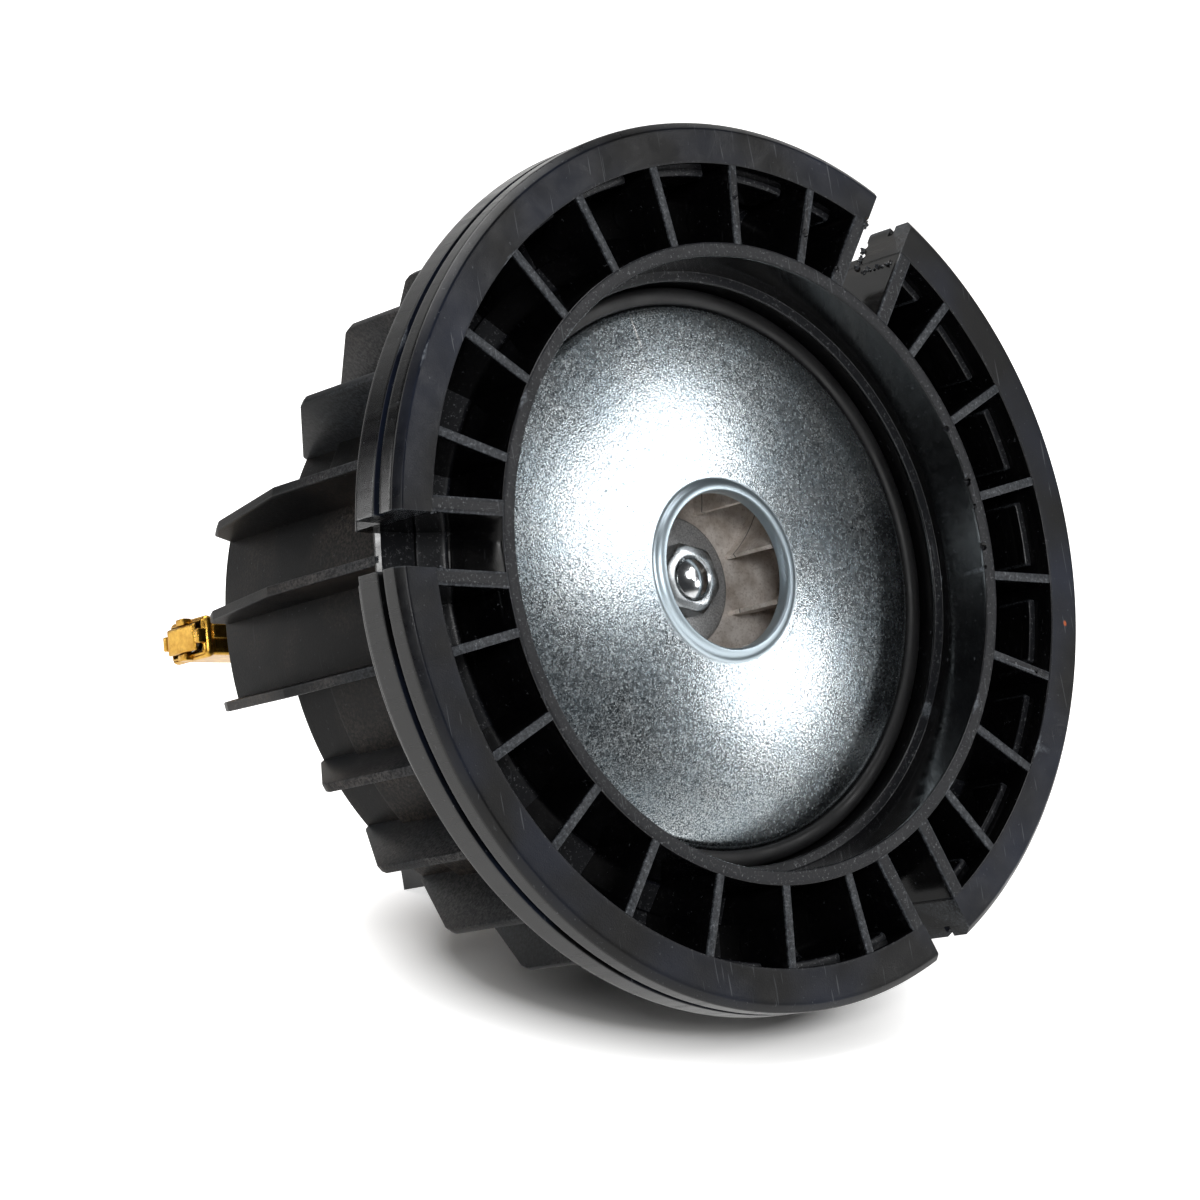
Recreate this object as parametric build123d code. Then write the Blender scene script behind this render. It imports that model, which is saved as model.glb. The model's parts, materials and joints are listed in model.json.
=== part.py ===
from build123d import *
import os
from math import atan2, cos, degrees, radians, sin, sqrt

# Vacuum cleaner motor unit, millimetres. It is drawn about its own shaft: local Z points out of the inlet,
# a depth is counted rearwards from the front face of the flange, and an angle runs anticlockwise from +X
# as seen from the front. Last, the unit is laid down as it rests, with +Z up and its inlet towards -Y.

overrun = 1.0        # how far a cutting tool runs past what it cuts
fit_gap = 0.05       # radial play of what is pushed onto or into its seat
quarter = 90
turn = 360

# radii that drive the others, from the armature outwards
armature_radius = 22.0
air_gap = 0.5
stator_bore_radius = armature_radius + air_gap
shoe_thickness = 4.0
coil_gap = 1.5
coil_inner_radius = stator_bore_radius + shoe_thickness + coil_gap
coil_thickness = 8.5
coil_outer_radius = coil_inner_radius + coil_thickness
window_outer_radius = coil_outer_radius + coil_gap
yoke_thickness = 8.0
stator_radius = window_outer_radius + yoke_thickness
seat_play = 1.0
seat_bore_radius = stator_radius + seat_play
seat_width = 8.1
sleeve_bore_radius = seat_bore_radius + seat_width
seal_step = 3.2
seal_bore_radius = sleeve_bore_radius + seal_step
bowl_step = 2.1
bowl_radius = seal_bore_radius + bowl_step
bowl_wall = 2.9
pocket_inner_radius = bowl_radius + bowl_wall
pocket_width = 15.7
pocket_outer_radius = pocket_inner_radius + pocket_width
rim_face_width = 8.5
rim_radius = pocket_outer_radius + rim_face_width

# depths that drive the others, from the fan nut rearwards
nut_front_depth = 21.2
nut_height = 5.4
washer_thickness = 1.6
back_disc_thickness = 1.2
diffuser_gap = 1.6
diffuser_front_depth = nut_front_depth + nut_height + washer_thickness + back_disc_thickness + diffuser_gap
diffuser_height = 9.0
bracket_front_depth = diffuser_front_depth + diffuser_height
bracket_height = 3.0
seat_depth = bracket_front_depth + bracket_height
core_gap = 13.0
core_start = seat_depth + core_gap
core_length = 36.0
core_end = core_start + core_length
commutator_gap = 8.0
commutator_start = core_end + commutator_gap
commutator_length = 15.1
commutator_end = commutator_start + commutator_length
brush_place = 7.5
brush_depth = commutator_start + brush_place
arm_gap = 6.9
arm_depth = commutator_end + arm_gap

# flange of the housing
rim_bevel = 1.5
groove_start = 5.2
groove_width = 1.6
groove_depth = 2.3
rim_depth = 13.0
pocket_wall = 2.4
rim_shoulder_radius = pocket_outer_radius + pocket_wall

# ring of pockets behind the front face
pocket_floor_depth = 20.0
pocket_corner = 2.2
pocket_step_width = 5.7
pocket_step_radius = pocket_inner_radius + pocket_step_width
pocket_step_height = 0.7
pocket_root_rise = 3.0
floor_thickness = 2.0
pad_height = 1.5
pad_start = 5.0
pad_length = 9.5
pad_clearance = 2.5
rib_count = 24
rib_thickness = 1.9
rib_offset_angle = 7.5
rib_seat = 0.7

# three notches in the rim
notch_angles = (52.5, 172.5, 292.5)
notch_width = 10.3
notch_wall = 3.2
notch_inset = 2.3
notch_root_radius = pocket_outer_radius - notch_inset

# bowl and the wall behind it
bowl_step_depth = 13.0
seal_ledge_depth = 21.5
ledge_thickness = 2.0
sleeve_wall = 2.2
seat_thickness = 3.0
wall_offset = 0.7
wall_radius = pocket_inner_radius + wall_offset
wall_thickness = 3.0
wall_overlap = 18.0
wall_end_depth = core_start + wall_overlap
wall_step_length = 13.5
wall_step_depth = wall_end_depth - wall_step_length
wall_step = 1.5
web_count = 12
web_thickness = 1.6

# cooling fins, the last stretch of the fin falls away to the wall
fin_radius = notch_root_radius
fin_thickness = 2.0
fin_corner_fall = 0.7
fin_corner_radius = fin_radius - fin_corner_fall
fin_slope_length = 15.7
fin_corner_depth = wall_end_depth - fin_slope_length
fin_corner_length = 2.0
fin_chamfer_start = fin_corner_depth - fin_corner_length
fin_root_sink = 0.6
fin_root_radius = wall_radius - fin_root_sink
channel_angles = (172.5, 352.5)
channel_half_angle = 15.0
channel_rise = 1.0
channel_radius = wall_radius + channel_rise
channel_wall = 2.5
channel_brush_gap = 16.8
channel_end_depth = brush_depth - channel_brush_gap
channel_side_height = 14.0
channel_side_root = wall_radius - channel_side_height
channel_side_lead = 1.5
channel_side_start = wall_step_depth + channel_side_lead
long_fin_lead = 1.7
long_fin_taper_depth = fin_chamfer_start + long_fin_lead
long_fin_fall = 5.5
long_fin_shoulder_radius = fin_radius - long_fin_fall
long_fin_tip_fall = 2.2
long_fin_tip_radius = long_fin_shoulder_radius - long_fin_tip_fall
long_fin_tip_gap = 0.7
long_fin_tip_depth = channel_end_depth - long_fin_tip_gap
long_fin_tip_length = 4.2
long_fin_shoulder_depth = long_fin_tip_depth - long_fin_tip_length

# pressed cover of the fan
sheet = 0.8
inlet_radius = 15.6
crown_width = 1.4
inlet_crown_radius = inlet_radius + crown_width
inlet_crown_depth = 10.0
inlet_lip_depth = 13.0
cover_play = 0.6
cover_radius = sleeve_bore_radius - cover_play
cover_corner = 1.3
cover_edge_radius = cover_radius - cover_corner
cover_edge_depth = 17.2
cover_dome = 0.8
cover_end_gap = 0.6
cover_end_depth = seat_depth - cover_end_gap

# impeller and what clamps it
shaft_radius = 4.0
shaft_nut_lead = 0.7
shaft_front_depth = nut_front_depth - shaft_nut_lead
shaft_dome = 0.8
nut_across_flats = 13.0
washer_radius = 13.5
impeller_tip_gap = 2.5
impeller_radius = cover_radius - impeller_tip_gap
impeller_sheet = 0.8
eye_play = 1.9
eye_radius = inlet_radius + eye_play
eye_depth = 13.4
eye_lip = 0.8
shroud_neck_depth = 14.0
shroud_rim_depth = 20.0
blade_count = 9
blade_thickness = 0.9
blade_eye_reach = 1.2
blade_inner_radius = eye_radius - blade_eye_reach
blade_front_depth = 14.2
blade_start_angle = 15.5
blade_sweep = 62.0
blade_bow_angle = 22.0
spacer_radius = 7.0

# diffuser behind the impeller
diffuser_plate = 1.2
diffuser_edge_gap = 4.5
diffuser_radius = cover_radius - diffuser_edge_gap
diffuser_bore_radius = 9.0
vane_count = 11
vane_thickness = 1.5
vane_inner_radius = 22.0
vane_sweep = 48.0
vane_bow_angle = 16.0

# bracket at the fan end
bracket_play = 1.0
bracket_radius = cover_radius - bracket_play
bracket_hub_radius = 14.5
bracket_ring_width = 9.5
bracket_ring_inner = bracket_radius - bracket_ring_width
bracket_spoke_width = 9.0
bracket_spokes = 4
post_radius = 4.8

# ball bearings, 8 x 22 x 7
bearing_outer_radius = 11.0
bearing_width = 7.0
bearing_lip_radius = 8.5
outer_race_inner = 9.2
inner_race_outer = 5.8
ball_radius = 1.95
ball_pitch_radius = 7.5
ball_gap = 0.08
ball_count = 7
cage_thickness = 0.9
cage_width = 2.6
front_bearing_offset = 2.0
front_bearing_depth = bracket_front_depth + front_bearing_offset
rear_bearing_offset = 0.2
rear_bearing_depth = arm_depth + rear_bearing_offset

# armature and field
shaft_body_radius = 5.0
armature_slots = 12
slot_width = 3.6
slot_mouth = 1.6
slot_inner_radius = 11.5
slot_wall = 1.6
slot_outer_radius = armature_radius - slot_wall
winding_gap = 0.15
winding_inner_radius = 7.0
winding_sink = 1.2
winding_outer_radius = slot_outer_radius - winding_sink
winding_overhang = 5.4
winding_round = 2.2
stator_flat = 8.0
stator_half_width = stator_radius - stator_flat
side_yoke = 7.0
window_half_width = stator_half_width - side_yoke
pole_half_angle = 32.0
shoe_gap_half_angle = 18.0
coil_half_angle = 54.0
coil_pole_half_angle = 33.8
coil_overhang = 7.0
coil_round = 2.0
bobbin_wall = 0.9
bobbin_half_angle = 56.0
bobbin_flange = 1.4
bobbin_rim = 0.5
bobbin_mouth_angle = 1.0
tab_width = 6.3
tab_thickness = 0.8
tab_length = 11.0
tab_spacing = 24.0
tab_height = 31.5

# commutator
commutator_radius = 14.0
commutator_hub_radius = 9.4
bar_count = 24
bar_gap = 0.7

# bracket at the rear
arm_clearance = 5.0
arm_reach = stator_radius + arm_clearance
arm_half_width = 8.5
arm_thickness = 4.0
leg_thickness = 4.0
foot_thickness = 4.0
foot_length = 12.6
foot_inner = arm_reach - foot_length
rear_hub_radius = 15.0
rear_hub_height = 8.5
rear_hub_end = arm_depth + rear_hub_height
rear_hub_bore = 6.0
wing_thickness = 2.8
wing_reach = 38.0
mount_ring_radius = 21.0
mount_ring_round = 2.0
mount_ring_gap = 0.2
shaft_end_gap = 0.5
shaft_end_depth = rear_hub_end - shaft_end_gap

# brush gear
brush_angle = 173.8
brush_width = 6.3
brush_height = 11.0
brush_play = 0.1
brush_face_gap = 0.15
brush_end_radius = 42.0
tube_wall = 0.55
tube_start_radius = 16.5
tube_reach = 0.5
tube_end_radius = wall_radius + tube_reach
holder_start_radius = 20.0
holder_end_radius = 40.0
holder_half_width = 8.0
holder_wall = 2.4
clip_sheet = 0.5
clip_fold = 5.0
clip_collar = 2.4
spring_radius = 2.7
spring_bore = 2.0
spring_gap = 0.1

# screws
long_screw_radius = 2.0
long_screw_inset = 4.0
long_screw_circle = stator_radius - long_screw_inset
long_screw_end_depth = 47.0
screw_clearance = 0.2
long_head_radius = 3.6
long_head_height = 2.8
seat_screw_radius = 1.6
seat_screw_inset = 3.3
seat_screw_circle = seat_bore_radius + seat_screw_inset
seat_screw_count = 4
seat_head_radius = 2.9
seat_head_height = 2.0
holder_screw_radius = 1.25
holder_screw_length = 11.0
holder_screw_places = ((25.0, 5.8), (33.0, -5.8))
holder_head_radius = 2.4
holder_head_height = 1.8


def turned(*points):
    """Solid turned about the shaft, from corners given as (radius, depth)."""
    outline = Polyline([(radius, -depth) for radius, depth in points], close=True)
    return revolve(Plane.XZ * make_face(outline), Axis.Z)


def tube(outer, inner, start, end):
    return turned((inner, start), (outer, start), (outer, end), (inner, end))


def radial_plate(thickness, *points):
    """Plate in the plane of the shaft and +X, from corners given as (radius, depth)."""
    outline = Polyline([(radius, -depth) for radius, depth in points], close=True)
    return extrude(Plane.XZ * make_face(outline), thickness / 2, both=True)


def block(x_range, y_range, depth_range):
    """Box between two x, two y and two depths."""
    size = (x_range[1] - x_range[0], y_range[1] - y_range[0], depth_range[1] - depth_range[0])
    centre = (sum(x_range) / 2, sum(y_range) / 2, -sum(depth_range) / 2)
    return Pos(*centre) * Box(*size)


def rod(radius, start, end):
    return Pos(0, 0, -(start + end) / 2) * Cylinder(radius, end - start)


def polar(angle, solid):
    return Rot(0, 0, angle) * solid


def around(count, solid, first=0.0):
    return [polar(first + turn * i / count, solid) for i in range(count)]


def at(radius, angle):
    """Point of the plane across the shaft."""
    return (radius * cos(radians(angle)), radius * sin(radians(angle)))


def sector(inner, outer, first, last, start, end):
    """Part of a ring between two angles under a half turn apart, and two depths."""
    middle = (first + last) / 2
    outline = Curve() + [
        ThreePointArc(at(outer, first), at(outer, middle), at(outer, last)),
        Line(at(outer, last), at(inner, last)),
        ThreePointArc(at(inner, last), at(inner, middle), at(inner, first)),
        Line(at(inner, first), at(outer, first)),
    ]
    return Pos(0, 0, -end) * extrude(make_face(outline), end - start)


def curved_vane(inner, outer, sweep, bow, thickness, start, end):
    """Upright vane along one arc that starts at +X and swings round as it goes outwards."""
    line = ThreePointArc(at(inner, 0), at((inner + outer) / 2, bow), at(outer, sweep))
    return Pos(0, 0, -end) * extrude(trace(line, line_width=thickness), end - start)


def rib_angles():
    step = turn / rib_count
    every = [rib_offset_angle + step * i for i in range(rib_count)]
    return [angle for angle in every if min(abs(angle - notch) for notch in notch_angles) > step / 2]


def fin_angles():
    step = turn / rib_count
    return [rib_offset_angle + step * i for i in range(rib_count)]


def beside_channel(angle):
    away = [abs((angle - channel + turn / 2) % turn - turn / 2) for channel in channel_angles]
    return min(away) <= channel_half_angle + fit_gap


def housing_shell():
    """Flange, pocket ring, bowl, seal ledge, sleeve with its seat, and outer wall, as one section."""
    groove_end = groove_start + groove_width
    groove_radius = rim_radius - groove_depth
    floor_back = pocket_floor_depth + floor_thickness
    wall_inner = wall_radius - wall_thickness
    sleeve_radius = sleeve_bore_radius + sleeve_wall
    return turned(
        (rim_radius - rim_bevel, 0), (rim_radius, rim_bevel), (rim_radius, groove_start),
        (groove_radius, groove_start), (groove_radius, groove_end), (rim_radius, groove_end),
        (rim_radius, rim_depth), (rim_shoulder_radius, rim_depth), (rim_shoulder_radius, floor_back),
        (wall_radius, floor_back), (wall_radius, wall_step_depth),
        (wall_radius - wall_step, wall_step_depth), (wall_radius - wall_step, wall_end_depth),
        (wall_inner - wall_step, wall_end_depth), (wall_inner, wall_step_depth),
        (wall_inner, seal_ledge_depth + ledge_thickness), (sleeve_radius, seal_ledge_depth + ledge_thickness),
        (sleeve_radius, seat_depth + seat_thickness), (seat_bore_radius, seat_depth + seat_thickness),
        (seat_bore_radius, seat_depth), (sleeve_bore_radius, seat_depth),
        (sleeve_bore_radius, seal_ledge_depth), (seal_bore_radius, seal_ledge_depth),
        (seal_bore_radius, bowl_step_depth), (bowl_radius, bowl_step_depth), (bowl_radius, 0),
        (pocket_inner_radius, 0), (pocket_inner_radius, pocket_floor_depth - pocket_root_rise),
        (pocket_step_radius, pocket_floor_depth - pocket_step_height),
        (pocket_step_radius, pocket_floor_depth),
        (pocket_outer_radius - pocket_corner, pocket_floor_depth),
        (pocket_outer_radius, pocket_floor_depth - pocket_corner), (pocket_outer_radius, 0),
    )


def pocket_pads():
    """Raised pads on the outer walls of the pockets, cut short of each rib."""
    ring = tube(pocket_outer_radius + rib_seat, pocket_outer_radius - pad_height, pad_start,
                pad_start + pad_length)
    half_gap = rib_thickness / 2 + pad_clearance
    half_notch = notch_width / 2 + notch_wall + pad_clearance
    depths = (pad_start - overrun, pad_start + pad_length + overrun)
    reach = (pocket_inner_radius, rim_radius)
    gap = block(reach, (-half_gap, half_gap), depths)
    wide_gap = block(reach, (-half_notch, half_notch), depths)
    cuts = [polar(angle, gap) for angle in rib_angles()] + [polar(angle, wide_gap) for angle in notch_angles]
    return ring - cuts


def pocket_ribs():
    floor = pocket_floor_depth + floor_thickness / 2
    reach = (pocket_inner_radius - rib_seat, pocket_outer_radius + rib_seat)
    rib = block(reach, (-rib_thickness / 2, rib_thickness / 2), (0, floor))
    near = notch_width / 2
    side = block(reach, (near, near + notch_wall), (0, floor))
    sides = side + mirror(side, about=Plane.XZ)
    return [polar(angle, rib) for angle in rib_angles()] + [polar(angle, sides) for angle in notch_angles]


def fin(root_radius):
    """Short cooling fin: straight along the flange, then falling away to the end of the wall."""
    return radial_plate(
        fin_thickness, (root_radius, pocket_floor_depth), (fin_radius, pocket_floor_depth),
        (fin_radius, fin_chamfer_start), (fin_corner_radius, fin_corner_depth),
        (fin_root_radius, wall_end_depth), (root_radius, wall_end_depth))


def long_fin(root_radius):
    """Fin on a side channel, as long as the channel."""
    return radial_plate(
        fin_thickness, (root_radius, pocket_floor_depth), (fin_radius, pocket_floor_depth),
        (fin_radius, long_fin_taper_depth), (long_fin_shoulder_radius, long_fin_shoulder_depth),
        (long_fin_tip_radius, long_fin_tip_depth), (channel_radius - channel_wall / 2, long_fin_tip_depth),
        (channel_radius - channel_wall / 2, wall_end_depth), (root_radius, wall_end_depth))


def side_channel():
    """Channel that carries the wall on rearwards beside a brush tube, with two side walls."""
    spread = channel_half_angle + degrees(fin_thickness / 2 / channel_radius)
    shell = sector(channel_radius - channel_wall, channel_radius, -spread, spread,
                   pocket_floor_depth + floor_thickness / 2, channel_end_depth)
    side = radial_plate(
        fin_thickness, (channel_side_root, channel_side_start), (channel_radius - channel_wall / 2,
        channel_side_start), (channel_radius - channel_wall / 2, channel_end_depth),
        (channel_side_root, channel_end_depth))
    return [shell, polar(channel_half_angle, side), polar(-channel_half_angle, side)]


def motor_housing():
    shell = housing_shell()
    root = wall_radius - wall_thickness + wall_step / 2
    added = pocket_ribs() + [pocket_pads()]
    for angle in fin_angles():
        added.append(polar(angle, long_fin(root) if beside_channel(angle) else fin(root)))
    for angle in channel_angles:
        added += [polar(angle, piece) for piece in side_channel()]
    sleeve_radius = sleeve_bore_radius + sleeve_wall
    web = block((sleeve_radius - sleeve_wall / 2, wall_radius - wall_thickness / 2),
                (-web_thickness / 2, web_thickness / 2), (seal_ledge_depth + overrun, seat_depth))
    added += around(web_count, web, turn / web_count / 2)
    housing = shell.fuse(*added)
    slot = block((notch_root_radius, rim_radius + overrun), (-notch_width / 2, notch_width / 2),
                 (-overrun, pocket_floor_depth + floor_thickness + overrun))
    keep = radial_plate(fin_thickness, (notch_root_radius - overrun, pocket_floor_depth),
                        (fin_radius, pocket_floor_depth), (fin_radius, wall_step_depth),
                        (notch_root_radius - overrun, wall_step_depth))
    housing -= [polar(angle, slot - keep) for angle in notch_angles]
    screw_hole = Pos(seat_screw_circle, 0, 0) * rod(seat_screw_radius + screw_clearance,
                                                    seat_depth - overrun,
                                                    seat_depth + seat_thickness + overrun)
    return housing - around(seat_screw_count, screw_hole, quarter / 2)


def cover_section():
    """Front line of the pressed cover: rolled inlet, slight dome, rounded edge and skirt."""
    roll = inlet_crown_radius - inlet_radius
    crown_end = (inlet_crown_radius + roll, -(inlet_crown_depth + roll))
    edge = (cover_edge_radius, -cover_edge_depth)
    middle = ((crown_end[0] + edge[0]) / 2, (crown_end[1] + edge[1]) / 2 + cover_dome)
    bend = cover_radius - cover_edge_radius
    diagonal = bend * (1 - sqrt(0.5))
    return Curve() + [
        Line((inlet_radius, -inlet_lip_depth), (inlet_radius, -(inlet_crown_depth + roll))),
        ThreePointArc((inlet_radius, -(inlet_crown_depth + roll)), (inlet_crown_radius, -inlet_crown_depth),
                      crown_end),
        ThreePointArc(crown_end, middle, edge),
        ThreePointArc(edge, (cover_radius - diagonal, -(cover_edge_depth + diagonal)),
                      (cover_radius, -(cover_edge_depth + bend))),
        Line((cover_radius, -(cover_edge_depth + bend)), (cover_radius, -cover_end_depth)),
    ]


def fan_cover():
    front = cover_section()
    sheet_face = make_face(offset(Wire(front.edges()), amount=sheet, side=Side.RIGHT, closed=True))
    return revolve(Plane.XZ * sheet_face, Axis.Z)


def cover_seal_ring():
    """Rubber ring between the cover's skirt and the bowl, with a rounded front."""
    inner = cover_radius + 2 * fit_gap
    outer = seal_bore_radius - 2 * fit_gap
    middle = (inner + outer) / 2
    half = (outer - inner) / 2
    shoulder = seal_ledge_depth - bowl_step_depth / 3
    outline = Curve() + [
        Line((inner, -seal_ledge_depth), (inner, -shoulder)),
        ThreePointArc((inner, -shoulder), (middle, half - shoulder), (outer, -shoulder)),
        Line((outer, -shoulder), (outer, -seal_ledge_depth)),
        Line((outer, -seal_ledge_depth), (inner, -seal_ledge_depth)),
    ]
    return revolve(Plane.XZ * make_face(outline), Axis.Z)


def impeller_front_disc():
    """Dished front disc with the eye that the inlet reaches into."""
    neck = eye_radius + eye_lip
    return turned(
        (eye_radius, eye_depth), (neck, eye_depth), (neck + eye_lip / 2, shroud_neck_depth),
        (impeller_radius, shroud_rim_depth), (impeller_radius, shroud_rim_depth + impeller_sheet),
        (neck, shroud_neck_depth + impeller_sheet), (eye_radius, shroud_neck_depth + impeller_sheet / 2))


def back_disc_depth():
    return nut_front_depth + nut_height + washer_thickness


def impeller_back_disc():
    front = back_disc_depth()
    return tube(impeller_radius, shaft_radius + fit_gap, front, front + back_disc_thickness)


def impeller_blades():
    """Curved blades between the two discs, each trimmed to the slope of the front disc."""
    neck = eye_radius + eye_lip
    eye_back = shroud_neck_depth + impeller_sheet / 2
    room = turned(
        (blade_inner_radius, blade_front_depth), (eye_radius, eye_back),
        (neck, shroud_neck_depth + impeller_sheet), (impeller_radius, shroud_rim_depth + impeller_sheet),
        (impeller_radius, back_disc_depth()), (blade_inner_radius, back_disc_depth()))
    blade = curved_vane(blade_inner_radius - overrun / 2, impeller_radius + overrun / 2, blade_sweep,
                        blade_bow_angle, blade_thickness, eye_depth, back_disc_depth())
    trimmed = blade & room
    return Compound(children=[piece.solid() for piece in around(blade_count, trimmed, blade_start_angle)])


def fan_washer():
    start = nut_front_depth + nut_height
    return tube(washer_radius, shaft_radius + fit_gap, start, start + washer_thickness)


def fan_nut():
    """Hexagon nut with a chamfered front."""
    hexagon = RegularPolygon(nut_across_flats / 2, 6, major_radius=False)
    nut = Pos(0, 0, -(nut_front_depth + nut_height)) * extrude(hexagon, nut_height)
    corner = nut_across_flats / 2 / cos(radians(turn / 12))
    flat = nut_across_flats / 2
    cone = turned((0, nut_front_depth), (flat, nut_front_depth), (corner, nut_front_depth + (corner - flat)),
                  (corner + overrun, nut_front_depth + (corner - flat)),
                  (corner + overrun, nut_front_depth + nut_height), (0, nut_front_depth + nut_height))
    return (nut & cone) - rod(shaft_radius + fit_gap, nut_front_depth - overrun,
                              nut_front_depth + nut_height + overrun)


def fan_spacer():
    start = back_disc_depth() + back_disc_thickness
    return tube(spacer_radius, shaft_radius + fit_gap, start, front_bearing_depth)


def diffuser():
    """Plate behind the impeller with the vanes that turn the air back inwards."""
    back = diffuser_front_depth + diffuser_plate
    plate = tube(diffuser_radius, diffuser_bore_radius, diffuser_front_depth, back)
    vane = curved_vane(vane_inner_radius, diffuser_radius - vane_thickness, -vane_sweep, -vane_bow_angle,
                       vane_thickness, back - diffuser_plate / 2, bracket_front_depth)
    return plate.fuse(*around(vane_count, vane))


def bearing_seat(outer, start):
    """What a bearing's seat takes away: the bore for the outer race."""
    return rod(outer, start, start + bearing_width + overrun)


def fan_end_bracket():
    """Spider that carries the front bearing and, on two posts, the field."""
    back = seat_depth
    ring = tube(bracket_radius, bracket_ring_inner, bracket_front_depth, back)
    hub = tube(bracket_hub_radius, bearing_lip_radius, bracket_front_depth,
               front_bearing_depth + bearing_width)
    spoke = block((bracket_hub_radius - overrun, bracket_ring_inner + overrun),
                  (-bracket_spoke_width / 2, bracket_spoke_width / 2), (bracket_front_depth, back))
    post = Pos(0, long_screw_circle, 0) * rod(post_radius, bracket_front_depth, core_start)
    posts = post + mirror(post, about=Plane.XZ)
    bracket = ring.fuse(hub, posts, *around(bracket_spokes, spoke))
    bracket -= bearing_seat(bearing_outer_radius + fit_gap, front_bearing_depth)
    thread = Pos(0, long_screw_circle, 0) * rod(long_screw_radius + fit_gap, long_screw_end_depth, core_start
                                                + overrun)
    seat_thread = Pos(seat_screw_circle, 0, 0) * rod(seat_screw_radius + fit_gap,
                                                     bracket_front_depth - overrun, seat_depth + overrun)
    bracket -= [thread, mirror(thread, about=Plane.XZ)]
    return bracket - around(seat_screw_count, seat_thread, quarter / 2)


def ball_track(start):
    """Space that the balls roll through, as a ring of round section."""
    centre = (ball_pitch_radius, -(start + bearing_width / 2))
    return revolve(Plane.XZ * (Pos(*centre) * Circle(ball_radius + ball_gap)), Axis.Z)


def outer_race(start):
    race = tube(bearing_outer_radius, outer_race_inner, start, start + bearing_width)
    return race - ball_track(start)


def inner_race(start):
    race = tube(inner_race_outer, shaft_radius + fit_gap, start, start + bearing_width)
    return race - ball_track(start)


def ball_set(start):
    """Balls held by their cage."""
    middle = start + bearing_width / 2
    cage = tube(ball_pitch_radius + cage_thickness / 2, ball_pitch_radius - cage_thickness / 2,
                middle - cage_width / 2, middle + cage_width / 2)
    ball = Pos(ball_pitch_radius, 0, -middle) * Sphere(ball_radius)
    return cage.fuse(*around(ball_count, ball))


def rotor_shaft():
    """Stepped shaft with a domed front end."""
    dome_radius = (shaft_radius**2 + shaft_dome**2) / (2 * shaft_dome)
    dome = Pos(0, 0, -(shaft_front_depth + dome_radius)) * Sphere(dome_radius)
    shoulder = front_bearing_depth + bearing_width
    shaft = turned(
        (0, shaft_front_depth), (shaft_radius, shaft_front_depth), (shaft_radius, shoulder),
        (shaft_body_radius, shoulder), (shaft_body_radius, rear_bearing_depth),
        (shaft_radius, rear_bearing_depth), (shaft_radius, shaft_end_depth), (0, shaft_end_depth))
    tip = rod(shaft_radius + overrun, shaft_front_depth, shaft_front_depth + shaft_dome)
    return shaft - (tip - dome)


def armature_slot(width, mouth, inner, outer, start, end):
    body = block((inner, outer), (-width / 2, width / 2), (start, end))
    if mouth:
        body += block((outer - overrun, armature_radius + overrun), (-mouth / 2, mouth / 2), (start, end))
    return body


def armature_core():
    core = tube(armature_radius, shaft_body_radius + fit_gap, core_start, core_end)
    slot = armature_slot(slot_width, slot_mouth, slot_inner_radius, slot_outer_radius,
                         core_start - overrun, core_end + overrun)
    return core - around(armature_slots, slot)


def armature_winding():
    """Wound coils: a rounded head at each end of the core and the coil sides in its slots."""
    def head(near, far):
        corner = winding_round if far > near else -winding_round
        return turned(
            (winding_inner_radius, near), (winding_outer_radius, near), (winding_outer_radius, far - corner),
            (winding_outer_radius - winding_round, far), (winding_inner_radius + winding_round, far),
            (winding_inner_radius, far - corner))
    front = head(core_start - winding_gap, core_start - winding_overhang)
    rear = head(core_end + winding_gap, core_end + winding_overhang)
    side = armature_slot(slot_width - 2 * winding_gap, 0, slot_inner_radius + winding_gap,
                         winding_outer_radius - winding_gap, core_start - overrun, core_end + overrun)
    return front.fuse(rear, *around(armature_slots, side))


def commutator_hub():
    return tube(commutator_hub_radius - fit_gap, shaft_body_radius + fit_gap, commutator_start,
                commutator_end)


def commutator_bars():
    """Ring of copper bars, each apart from the next."""
    ring = tube(commutator_radius, commutator_hub_radius, commutator_start, commutator_end)
    gap = block((commutator_hub_radius - overrun, commutator_radius + overrun), (-bar_gap / 2, bar_gap / 2),
                (commutator_start - overrun, commutator_end + overrun))
    return Compound(children=list((ring - around(bar_count, gap)).solids()))


def stator_core():
    """Laminated field with two pole shoes, above and below the armature."""
    radius = stator_radius
    outline = rod(radius, core_start, core_end) & block(
        (-stator_half_width, stator_half_width), (-radius, radius), (core_start, core_end))
    depths = (core_start - overrun, core_end + overrun)
    window_angle = quarter - pole_half_angle
    window = sector(stator_bore_radius + shoe_thickness, window_outer_radius, -window_angle, window_angle,
                    *depths)
    window &= block((0, window_half_width), (-radius, radius), depths)
    window += sector(stator_bore_radius - overrun, stator_bore_radius + shoe_thickness + overrun,
                     -shoe_gap_half_angle, shoe_gap_half_angle, *depths)
    core = outline - rod(stator_bore_radius, *depths) - [window, mirror(window, about=Plane.YZ)]
    hole = Pos(0, long_screw_circle, 0) * rod(long_screw_radius + screw_clearance, *depths)
    return core - [hole, mirror(hole, about=Plane.XZ)]


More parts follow.
